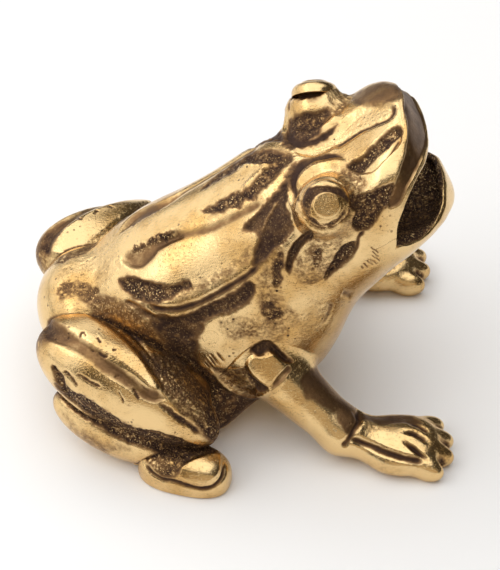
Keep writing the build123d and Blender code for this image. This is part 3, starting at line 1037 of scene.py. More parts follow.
class Tree:
    """A material's shader tree and the one method that adds its nodes.

    A Mix node's sockets share their names, so they are numbered: the share and two colours, and the result.
    """

    MIX_INPUTS: ClassVar[tuple[int, int, int]] = (0, 6, 7)
    MIX_RESULT: ClassVar[int] = 2

    def __init__(self, name: str) -> None:
        """Starts a material with an empty tree."""
        self.material = bpy.data.materials.new(name)
        self.material.use_nodes = True
        self.material.node_tree.nodes.clear()

    def node(self, kind: str, settings: dict[str, Any], inputs: dict[Any, Any], output: Any = 0) -> Sock:
        """Adds a node, with its settings set before its sockets.

        Args:
            kind: The node's type.
            settings: Values of the node itself.
            inputs: Values or links of its sockets, by name or number.
            output: Which output to hand back.

        Returns:
            The chosen output.
        """
        node = self.material.node_tree.nodes.new(kind)
        for key, value in settings.items():
            setattr(node, key, value)
        for key, value in inputs.items():
            if isinstance(value, Sock):
                self.material.node_tree.links.new(value.socket, node.inputs[key])
            else:
                node.inputs[key].default_value = value
        return Sock(self, node.outputs[output] if node.outputs else None)

    def place(self) -> Sock:
        """Object coordinates, in metres."""
        return self.node("ShaderNodeTexCoord", {}, {}, output="Object")

    def attribute(self, name: str) -> Sock:
        """A number that the piece's mesh carries."""
        return self.node("ShaderNodeAttribute", {"attribute_name": name}, {}, output="Fac")

    def noise(self, place: Sock, scale: float, detail: float = 3.0, roughness: float = 0.55) -> Sock:
        """A noise texture on places in metres."""
        return self.node(
            "ShaderNodeTexNoise",
            {},
            {"Vector": place, "Scale": scale, "Detail": detail, "Roughness": roughness},
        )

    def mix(self, share: Any, first: Any, second: Any) -> Sock:
        """A blend of two colours."""
        inputs = dict(zip(self.MIX_INPUTS, (share, first, second)))
        return self.node("ShaderNodeMix", {"data_type": "RGBA"}, inputs, output=self.MIX_RESULT)

    def finish(self, shader: Sock) -> bpy.types.Material:
        """Joins the shader to the material's output.

        Args:
            shader: The surface.

        Returns:
            The material.
        """
        self.node("ShaderNodeOutputMaterial", {}, {"Surface": shader})
        return self.material


Colour = tuple[float, float, float, float]
NOISE_MIDDLE = 0.5


@dataclass(frozen=True)
class CastBrass:
    """Polished cast brass with brown patina in its hollows, painted shade and painted dark reflections,
    as-cast grain and small pits.

    Clouds turn the metal from polished to honey and matt. Blotches and specks break up the patina and
    painted shade, glints are crumbs rubbed bright, the brush leaves fine lines along the body, and dots and
    pits are small flaws.
    A scale is how fine a noise is, and a step is where its soft step starts and ends.
    """

    polished: Colour = (0.82, 0.58, 0.28, 1.0)
    honey: Colour = (0.61, 0.365, 0.125, 1.0)
    # The brown of the patina and painted shade, and of the brush lines and dots
    tarnish_and_shade: Colour = (0.21, 0.115, 0.05, 1.0)
    umber: Colour = (0.040, 0.017, 0.010, 1.0)
    gloss: float = 0.22
    dull: float = 0.50
    cloud_scale: float = 70.0
    cloud_rough: float = 0.14
    honey_step: Step = (0.40, 0.72)
    matt_step: Step = (0.36, 0.62)
    blotch_scale: float = 260.0
    blotch_stain: float = 0.55
    blotch_bump: float = 0.20
    blotch_bump_in_grain: float = 0.5
    speck_scale: float = 1300.0
    speck_stain: float = 0.25
    speck_stain_in_grain: float = 0.7
    speck_bump: float = 0.22
    speck_bump_in_grain: float = 1.0
    speck_bump_in_brown: float = 0.25
    glint_scale: float = 2300.0
    glint_step: Step = (0.58, 0.70)
    glint_bump: float = 0.5
    glint_clears_brown: float = 0.95
    brush_scale: float = 2400.0
    brush_stretch: Point = (1.0, 0.22, 0.8)
    brush_step: Step = (0.52, 0.70)
    brush_stain: float = 0.35
    brush_bump: float = 0.10
    brush_bump_in_matt: float = 0.22
    dot_scale: float = 2000.0
    dot_step: Step = (0.60, 0.72)
    dots_in_polish: float = 0.25
    dot_stain: float = 0.45
    dot_bump: float = 0.4
    pit_scale: float = 520.0
    pit_step: Step = (0.10, 0.24)
    pit_area_scale: float = 120.0
    pit_area_step: Step = (0.56, 0.70)
    pits_in_grain: float = 0.6
    pit_stain: float = 0.8
    pit_bump: float = 0.9
    patina_and_shade_weight: float = 1.15
    crust_and_shade_start: float = 0.08
    brown_step: Step = (0.10, 0.66)
    brown_rough: float = 0.14
    dark_step: Step = (0.50, 1.22)
    dark_metal_loss: float = 0.35
    grain_rough: float = 0.10
    bump_strength: float = 0.5
    bump_height: float = 0.00035

    def material(self) -> bpy.types.Material:
        """Builds the finish from the attributes of patina with painted shade and of grain, and noise on
        Object coordinates.

        Returns:
            The material.
        """
        tree = Tree("cast_brass")
        place = tree.place()
        patina_and_shade = tree.attribute("patina_and_shade")
        grain = tree.attribute("grain")
        cloud = tree.noise(place, self.cloud_scale, detail=4.0)
        blotch = tree.noise(place, self.blotch_scale, detail=4.0)
        speck = tree.noise(place, self.speck_scale, roughness=0.65)
        glint = tree.noise(place, self.glint_scale, detail=1.0).step(self.glint_step) * grain
        lengthwise = tree.node("ShaderNodeMapping", {}, {"Vector": place, "Scale": self.brush_stretch})
        brush = tree.noise(lengthwise, self.brush_scale, detail=2.0)
        matt = cloud.step(self.matt_step)
        dots = tree.noise(place, self.dot_scale, detail=2.0, roughness=0.6).step(self.dot_step)
        dots = dots * (self.dots_in_polish + (1.0 - self.dots_in_polish) * matt)
        cells = tree.node(
            "ShaderNodeTexVoronoi", {}, {"Vector": place, "Scale": self.pit_scale}, output="Distance")
        pit_area = tree.noise(place, self.pit_area_scale, detail=2.0).step(self.pit_area_step)
        pits = (1.0 - cells.step(self.pit_step)) * (pit_area + grain * self.pits_in_grain)
        noises = (cloud, blotch, speck, brush)
        clouded, blotched, specked, brushed = (noise - NOISE_MIDDLE for noise in noises)
        # The patina with its painted shade, broken up by blotches and specks, sets where the metal turns
        # brown and dark
        crust_and_shade = patina_and_shade * self.patina_and_shade_weight + blotched * self.blotch_stain - self.crust_and_shade_start
        crust_and_shade = crust_and_shade + specked * (self.speck_stain + grain * self.speck_stain_in_grain)
        brown = crust_and_shade.step(self.brown_step) * (1.0 - glint * self.glint_clears_brown)
        dark = crust_and_shade.step(self.dark_step) * (1.0 - glint)
        sunk = tree.node("ShaderNodeMath", {"operation": "MAXIMUM"}, {0: dark, 1: pits * self.pit_stain})
        metal = tree.mix(cloud.step(self.honey_step), self.polished, self.honey)
        lines = (brush.step(self.brush_step) * self.brush_stain + dots * self.dot_stain) * matt
        metal = tree.mix(lines, metal, self.tarnish_and_shade)
        warm = tree.mix(brown, metal, self.tarnish_and_shade)
        colour = tree.mix(sunk, warm, self.umber)
        rough = self.gloss + clouded * self.cloud_rough + brown * self.brown_rough
        rough = rough + (grain - glint) * self.grain_rough + sunk * (self.dull - self.gloss)
        specks_stand = self.speck_bump + grain * self.speck_bump_in_grain + brown * self.speck_bump_in_brown
        grit = specked * specks_stand
        grit = grit + blotched * (self.blotch_bump + grain * self.blotch_bump_in_grain)
        grit = grit + brushed * (self.brush_bump + matt * self.brush_bump_in_matt)
        grit = grit + glint * self.glint_bump - dots * self.dot_bump - pits * self.pit_bump
        bump = tree.node(
            "ShaderNodeBump",
            {},
            {"Height": grit, "Strength": self.bump_strength, "Distance": self.bump_height},
        )
        shader = tree.node(
            "ShaderNodeBsdfPrincipled",
            {},
            {
                "Base Color": colour,
                "Roughness": rough,
                "Metallic": 1.0 - sunk * self.dark_metal_loss,
                "Normal": bump,
            },
        )
        return tree.finish(shader)


@dataclass(frozen=True)
class DrawnBrass:
    """Drawn brass rod of the hidden dowels: clouded from bright to dull, with fine scratches."""

    bright: Colour = (0.72, 0.48, 0.18, 1.0)
    dull: Colour = (0.40, 0.24, 0.09, 1.0)
    cloud_scale: float = 180.0
    cloud_step: Step = (0.35, 0.65)
    scratch_scale: float = 2400.0
    gloss: float = 0.28
    scratch_rough: float = 0.2
    bump_strength: float = 0.3
    bump_height: float = 0.0001

    def material(self) -> bpy.types.Material:
        """Builds the finish from noise on Object coordinates.

        Returns:
            The material.
        """
        tree = Tree("drawn_brass")
        place = tree.place()
        cloud = tree.noise(place, self.cloud_scale)
        scratch = tree.noise(place, self.scratch_scale, detail=2.0)
        bump = tree.node(
            "ShaderNodeBump",
            {},
            {"Height": scratch, "Strength": self.bump_strength, "Distance": self.bump_height},
        )
        shader = tree.node(
            "ShaderNodeBsdfPrincipled",
            {},
            {
                "Base Color": tree.mix(cloud.step(self.cloud_step), self.bright, self.dull),
                "Roughness": self.gloss + scratch * self.scratch_rough,
                "Metallic": 1.0,
                "Normal": bump,
            },
        )
        return tree.finish(shader)


@dataclass(frozen=True)
class PaleFloor:
    """A matt white studio floor."""

    white: Colour = (0.97, 0.97, 0.97, 1.0)
    shade: Colour = (0.95, 0.95, 0.95, 1.0)
    cloud_scale: float = 3.0
    roughness: float = 0.9

    def material(self) -> bpy.types.Material:
        """Builds the finish: two whites blended by slow noise.

        Returns:
            The material.
        """
        tree = Tree("pale_floor")
        colour = tree.mix(tree.noise(tree.place(), self.cloud_scale), self.white, self.shade)
        shader = tree.node(
            "ShaderNodeBsdfPrincipled", {}, {"Base Color": colour, "Roughness": self.roughness})
        return tree.finish(shader)


# The castings

@dataclass(frozen=True)
class Foundry:
    """Makes every casting in one finish."""

    brass: bpy.types.Material

    def cast(
        self,
        name: str,
        node: str,
        grid: Array,
        carving: Carving,
        ring: bool = True,
        left: bool = False,
        around: Field = figure,
    ) -> None:
        """Makes a piece from its skin, carves it, gives it its finish and its body, and hides the CAD node
        that it replaces.

        Args:
            name: The piece's name.
            node: The CAD node that it replaces.
            grid: Points in rows and columns.
            carving: Its strokes and its texture.
            ring: Whether the last column joins the first.
            left: Whether it is the mirror image, on the left side.
            around: The field that shelters it.
        """
        piece = cast_piece(name, grid, ring, left)
        carving.apply(piece, around)
        piece.data.materials.append(self.brass)
        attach(piece, BODY)
        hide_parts(node)
        log.info("%s: %d faces, in place of %s", piece.name, len(piece.data.polygons), node)


@dataclass
class TorsoCasting:
    """The hollow body from the rump to the neck."""

    neck: float = 70.0
    rump_middle: float = 17.0
    rump_rows: int = 62
    rows: int = 185
    columns: int = 380
    longest: float = 60.0
    carving: Carving = field(default_factory=lambda: Carving(TRUNK_STROKES))

    def skin(self) -> Array:
        """Rays square to the back line from the middle of each section, which fan out backward at the rump.

        Returns:
            Points in rows and columns.
        """
        along = np.concatenate([
            np.full(self.rump_rows, self.rump_middle),
            np.linspace(self.rump_middle, self.neck, self.rows)[1:],
            self.neck + np.linspace(0.0, LAP, LAP_STEPS)[1:],
        ])
        lean = np.zeros(len(along))
        lean[:self.rump_rows] = np.linspace(math.pi / 2, 0.0, self.rump_rows)
        turn = full_turn(self.columns)[..., 0]
        lean = lean[:, None]
        rays = np.stack([
            np.cos(lean) * np.sin(turn),
            -np.sin(lean) * np.ones_like(turn),
            np.cos(lean) * np.cos(turn),
        ], axis=-1)
        middles = np.stack([np.zeros(len(along)), along, TRUNK.middle_line(along)], axis=-1)
        origins = np.broadcast_to(middles[:, None], rays.shape)
        run = reach(trunk_along, origins.reshape(-1, 3), rays.reshape(-1, 3), self.longest)
        run = run.reshape(rays.shape[:2]) - lap_sink(along - self.neck)[:, None]
        skin = origins + rays * run[..., None]
        cap = np.broadcast_to(middles[-1], (1, self.columns, 3))
        return BACK.out(np.concatenate([skin, cap]))

    def build(self, foundry: Foundry) -> None:
        """Casts the torso."""
        foundry.cast("torso", "torso_shell", self.skin(), self.carving)


@dataclass
class Gape:
    """The open mouth, which the head and the lower jaw share.

    Both are fans of rays from the middle line: square to it from the neck to the hinge, then turning to the
    front round the hinge. The seam runs from the neck to the mouth's corner, and the lips part from there.
    Each lip row gives the ray's turn from straight ahead and its rise, and the opening is how many degrees
    from the corner the lips start to part and are parted.
    """

    SIDEWAYS: ClassVar[float] = 90.0

    neck: float = 70.0
    hinge: float = 92.0
    middle: float = -15.6
    corner_drop: float = -9.5
    corner_curve: float = 1.5
    opening: Step = (1.0, 9.0)
    upper_lip: tuple[tuple[float, float], ...] = (
        (0.0, 24.0), (34.0, 24.0), (49.0, 23.6), (60.0, 20.5), (69.0, 15.5), (78.0, 8.0), (84.0, -1.0),
        (90.0, -9.5),
    )
    lower_lip: tuple[tuple[float, float], ...] = (
        (0.0, -29.0), (28.0, -28.0), (50.0, -28.0), (65.0, -26.5), (76.0, -20.5), (84.0, -13.0),
        (90.0, -9.5),
    )
    hollow: Ball = Ball((0.0, 97.0, -15.0), (18.5, 17.5, 12.0), pitch=-14.0)
    wall: float = 2.3
    lip_round: float = 0.9
    straight_columns: int = 56
    fan_columns: int = 108
    rim_rows: int = 9
    longest: float = 50.0

    def skin(self, top: bool, outer_rows: int, inner_rows: int) -> Array:
        """The outer skin from the middle to the edge, the lip's round edge, and the mouth's lining.

        Args:
            top: Whether the part above the gape is made, or the one below.
            outer_rows: Steps on the outside.
            inner_rows: Steps in the lining.

        Returns:
            Points in rows and columns from the right of the neck round the front to its left.
        """
        along = np.concatenate([
            self.neck - np.linspace(LAP, 0.0, LAP_STEPS)[:-1],
            np.linspace(self.neck, self.hinge, self.straight_columns),
            np.full(self.fan_columns - 1, self.hinge),
        ])
        turn = np.full(len(along), self.SIDEWAYS)
        turn[-self.fan_columns:] = np.linspace(self.SIDEWAYS, 0.0, self.fan_columns)
        lip = np.array(self.upper_lip if top else self.lower_lip).T
        share = np.maximum(along - self.neck, 0.0) / (self.hinge - self.neck)
        seam = self.corner_drop * share ** self.corner_curve
        edge = np.radians(np.where(turn < self.SIDEWAYS, stations(turn, lip[0], lip[1]), seam))
        open_share = smooth(self.SIDEWAYS - turn, *self.opening)
        turn = np.radians(turn)
        pole = math.pi / 2 if top else -math.pi / 2
        middles = np.stack([np.zeros_like(along), along, np.full_like(along, self.middle)], axis=-1)

        def rays(rise: Array) -> Array:
            """Unit rays at each column's turn, with the given rises."""
            return np.stack(
                [np.cos(rise) * np.sin(turn), np.cos(rise) * np.cos(turn), np.sin(rise)], axis=-1)

        def runs(depth: Field, rise: Array) -> Array:
            """How far the rays of those rises run in a field.

            Args:
                depth: The field, in side, along and above.
                rise: The rays' rises, in rows and columns.

            Returns:
                The runs, in rows and columns.
            """
            direction = rays(rise).reshape(-1, 3)
            origins = np.broadcast_to(middles, (*rise.shape, 3)).reshape(-1, 3)
            return reach(depth, origins, direction, self.longest).reshape(rise.shape)

        outer_rise = pole + (edge - pole) * np.linspace(0.0, 1.0, outer_rows)[:, None]
        inner_rise = edge + (pole - edge) * np.linspace(0.0, 1.0, inner_rows)[:, None]
        sink = lap_sink(self.neck - along)
        outer = runs(trunk_along, outer_rise) - sink
        limit = runs(trunk_along, inner_rise) - self.wall
        inner = np.minimum(runs(self.hollow.depth, inner_rise), limit)
        way = -1.0 if top else 1.0
        over = np.linspace(0.0, LAP, LAP_STEPS)[1:, None] * (1.0 - open_share)
        lap_rise = edge + way * over / outer[-1]
        lap = runs(trunk_along, lap_rise) - sink - lap_sink(over)
        over = np.linspace(0.0, 1.0, self.rim_rows + 2)[1:-1, None]
        rim = lap[-1] + (inner[0] - lap[-1]) * over
        swell = np.sin(math.pi * over) * self.lip_round * open_share / outer[-1]
        rim_rise = lap_rise[-1] + (edge - lap_rise[-1]) * over + swell * way
        skin = np.concatenate([
            middles + rays(outer_rise) * outer[..., None],
            middles + rays(lap_rise) * lap[..., None],
            middles + rays(rim_rise) * rim[..., None],
            middles + rays(inner_rise) * inner[..., None],
        ])
        cap = np.broadcast_to(middles[:1], (len(skin), 1, 3))
        right = np.concatenate([cap, skin], axis=1)
        left = right[:, -2::-1] * np.array([-1.0, 1.0, 1.0])
        return BACK.out(np.concatenate([right, left], axis=1))


@dataclass
class HeadCasting:
    """The head above the gape, with the eyes set in its lids."""

    gape: Gape
    outer_rows: int = 220
    inner_rows: int = 40
    eye_lift: float = 38.0
    eye_middle: Point = (17.9, 20.0, 76.7)
    eye_profile: tuple[tuple[float, float], ...] = (
        (0.0, 7.8), (2.9, 7.75), (3.3, 7.6), (3.6, 7.3), (4.2, 7.1), (4.9, 6.8), (5.5, 6.3), (5.9, 5.7),
        (6.1, 5.0), (6.1, 3.8), (0.0, 3.6),
    )
    eye_columns: int = 96
    eye_rows: int = 80
    carving: Carving = field(default_factory=lambda: Carving(TRUNK_STROKES))
    eye_carving: Carving = field(default_factory=lambda: Carving(EYE_STROKES, ripple=0.03, grain=0.1))

    def eye_skin(self) -> Array:
        """The eye as a turned form: a smooth profile of radius and height, carried round the eye's axis.

        Returns:
            Points in rows and columns.
        """
        lift = math.radians(self.eye_lift)
        axis = np.array([math.cos(lift), 0.0, math.sin(lift)])
        side = np.array([0.0, 1.0, 0.0])
        rise = np.cross(axis, side)
        corners = np.array(self.eye_profile)
        knots = lengths_along(corners)
        where = np.linspace(0.0, knots[-1], self.eye_rows)
        radius, height = (np.interp(where, knots, corners[:, i])[:, None, None] for i in range(2))
        turn = full_turn(self.eye_columns)
        outward = np.cos(turn) * side + np.sin(turn) * rise
        return np.array(self.eye_middle) + axis * height + outward * radius

    def build(self, foundry: Foundry) -> None:
        """Casts the head and both eyes.

        Args:
            foundry: What casts them.
        """
        head = self.gape.skin(True, self.outer_rows, self.inner_rows)
        foundry.cast("head", "head_shell", head, self.carving, ring=False)
        eye = self.eye_skin()
        for hand, left in HANDS:
            foundry.cast(
                f"eyeball_{hand}", f"eye_{hand}", eye, self.eye_carving, left=left, around=nothing_near)


@dataclass
class JawCasting:
    """The lower jaw and throat below the gape."""

    gape: Gape
    outer_rows: int = 150
    inner_rows: int = 40
    carving: Carving = field(default_factory=lambda: Carving(TRUNK_STROKES))

    def build(self, foundry: Foundry) -> None:
        """Casts the jaw."""
        jaw = self.gape.skin(False, self.outer_rows, self.inner_rows)
        foundry.cast("jaw", "lower_jaw", jaw, self.carving, ring=False)


@dataclass
class ForelegCastings:
    """The two forelegs, from the shoulder to the wrist, and their forefeet."""

    shoulder: Point = (17.0, 1.0, 27.0)
    elbow: Point = (32.4, 24.5, 8.4)
    wrist: Point = (34.7, 36.6, 5.4)
    flare: float = 14.5
    fillet: float = 5.0
    tuck: float = 0.35
    sole_edge: float = 0.4
    rows: int = 170
    columns: int = 190
    palm_middle: Point = (35.2, 41.5, 3.2)
    foot_rows: int = 170
    foot_columns: int = 380
    longest: float = 22.0
    carving: Carving = field(default_factory=lambda: Carving(SHOULDER_STROKES + FORELEG_STROKES))
    foot_carving: Carving = field(default_factory=lambda: Carving(FOREFOOT_STROKES, ripple=0.05))

    def heading(self) -> Array:
        """The way from the elbow to the wrist."""
        run = np.array(self.wrist) - np.array(self.elbow)
        return run / np.linalg.norm(run)

    def leg_depth(self, points: Array) -> Array:
        """The arm filleted to the trunk, which is tucked in a little, and cut by the floor."""
        joined = soft_min(ARM.depth(points), TRUNK.depth(points) + self.tuck, self.fillet)
        return soft_max(joined, -points[..., 2], self.sole_edge)

    def leg_skin(self) -> Array:
        """A sleeve round the bent line of the arm, in the field of the arm filleted to the trunk.

        Returns:
            Points in rows and columns.
        """
        corners = np.array([self.shoulder, self.elbow, self.wrist])
        knots = lengths_along(corners)
        over = np.linspace(0.0, LAP, LAP_STEPS)[1:]
        where = np.linspace(0.0, knots[-1], self.rows)
        path = np.stack([stations(where, knots, corners[:, i]) for i in range(3)], axis=-1)
        path = np.concatenate([path, path[-1] + over[:, None] * self.heading()])
        sink = np.concatenate([np.zeros(self.rows), lap_sink(over)])
        return sleeve(self.leg_depth, path, self.flare, sink, self.columns)

    def foot_skin(self) -> Array:
        """A star of rays from inside the palm, cut flat at the wrist.

        Returns:
            Points in rows and columns.
        """
        heading = self.heading()

        def cut(points: Array) -> Array:
            """The limb in front of the wrist's plane, with a lap that sinks behind it."""
            over = (np.array(self.wrist) - points) @ heading
            return np.maximum(ARM.depth(points) + lap_sink(over), over - LAP)

        return star(
            cut,
            self.palm_middle,
            np.array([0.0, 0.0, 1.0]),
            self.longest,
            self.foot_rows,
            self.foot_columns,
        )

    def build(self, foundry: Foundry) -> None:
        """Casts both forelegs and forefeet.

        Args:
            foundry: What casts them.
        """
        leg, foot = self.leg_skin(), self.foot_skin()
        for hand, left in HANDS:
            foundry.cast(f"arm_{hand}", f"foreleg_{hand}", leg, self.carving, left=left)
            foundry.cast(f"hand_{hand}", f"forefoot_{hand}", foot, self.foot_carving, left=left)


@dataclass
class HindLegCastings:
    """The two hind legs: thigh, shank and foot."""

    thigh_middle: Point = (24.0, -31.5, 22.0)
    shank_middle: Point = (28.8, -34.0, 7.0)
    foot_middle: Point = (39.6, -17.4, 3.0)
    thigh_rows: int = 280
    thigh_columns: int = 300
    rows: int = 170
    columns: int = 190
    thigh_far: float = 42.0
    far: float = 26.0
    thigh_carving: Carving = field(default_factory=lambda: Carving(THIGH_STROKES))
    shank_carving: Carving = field(default_factory=lambda: Carving(SHANK_STROKES))
    foot_carving: Carving = field(default_factory=lambda: Carving(HIND_FOOT_STROKES))

    def build(self, foundry: Foundry) -> None:
        """Casts both hind legs, whose skins are stars of rays from the middles of their masses.

        Args:
            foundry: What casts them.
        """
        thigh_axis = turned(LEG.drumstick.pitch, LEG.drumstick.swing)[1]
        shank_axis = turned(0.0, LEG.lower.swing)[1]
        foot_axis = turned(0.0, LEG.sole.swing)[1]
        thigh_size = (self.thigh_far, self.thigh_rows, self.thigh_columns)
        size = (self.far, self.rows, self.columns)
        parts = (
            ("thigh", star(LEG.thigh, self.thigh_middle, thigh_axis, *thigh_size), self.thigh_carving),
            ("shank", star(LEG.shank, self.shank_middle, shank_axis, *size), self.shank_carving),
            ("hind_foot", star(LEG.foot, self.foot_middle, foot_axis, *size), self.foot_carving),
        )
        for name, skin, carving in parts:
            for hand, left in HANDS:
                foundry.cast(f"{name}_casting_{hand}", f"{name}_{hand}", skin, carving, left=left)


# The carving of each casting, on the picture plane

SHOULDER_STROKES = (
    # The shoulder: a raised plate with a dark hollow above it, and a leaf-shaped hollow behind it
    Patch(((250, 351), (258, 344), (268, 341), (277, 347), (285, 355), (293, 362), (284, 361), (276, 355),
           (268, 351), (261, 355)), -1.0, 2.5, patina_and_shade=1.0, grain=0.3),
    Patch(((252, 355), (264, 355), (272, 352), (283, 360), (290, 365), (280, 375), (268, 387), (258, 381),
           (250, 373), (246, 365)), 0.7, 3.0, crumble=0.3),
    Patch(((212, 369), (230, 370), (245, 368), (250, 378), (258, 388), (252, 394), (240, 392), (228, 386),
           (219, 378)), -0.8, 3.0, patina_and_shade=0.55, grain=1.0),
    Patch(((245, 366), (251, 375), (261, 383), (268, 388), (262, 392), (252, 388), (246, 377)), -0.6, 2.0,
          patina_and_shade=1.0),
    Stroke(((215, 378), (232, 391), (252, 397), (270, 391), (284, 379), (293, 365)), 3.0, 0.6,
           Cut.CREASE),
    Patch(((271, 389), (277, 378), (289, 366), (291, 369), (284, 380)), -0.3, 2.0, patina_and_shade=0.6),
    *(Stroke(scratch, 1.0, -0.25, Cut.CREASE, patina_and_shade=0.8, crumble=0.2) for scratch in (
        ((204, 361), (210, 368)), ((205, 358), (214, 369)), ((208, 356), (216, 366)),
        ((210, 354), (219, 365)), ((216, 352), (224, 362)))),
)
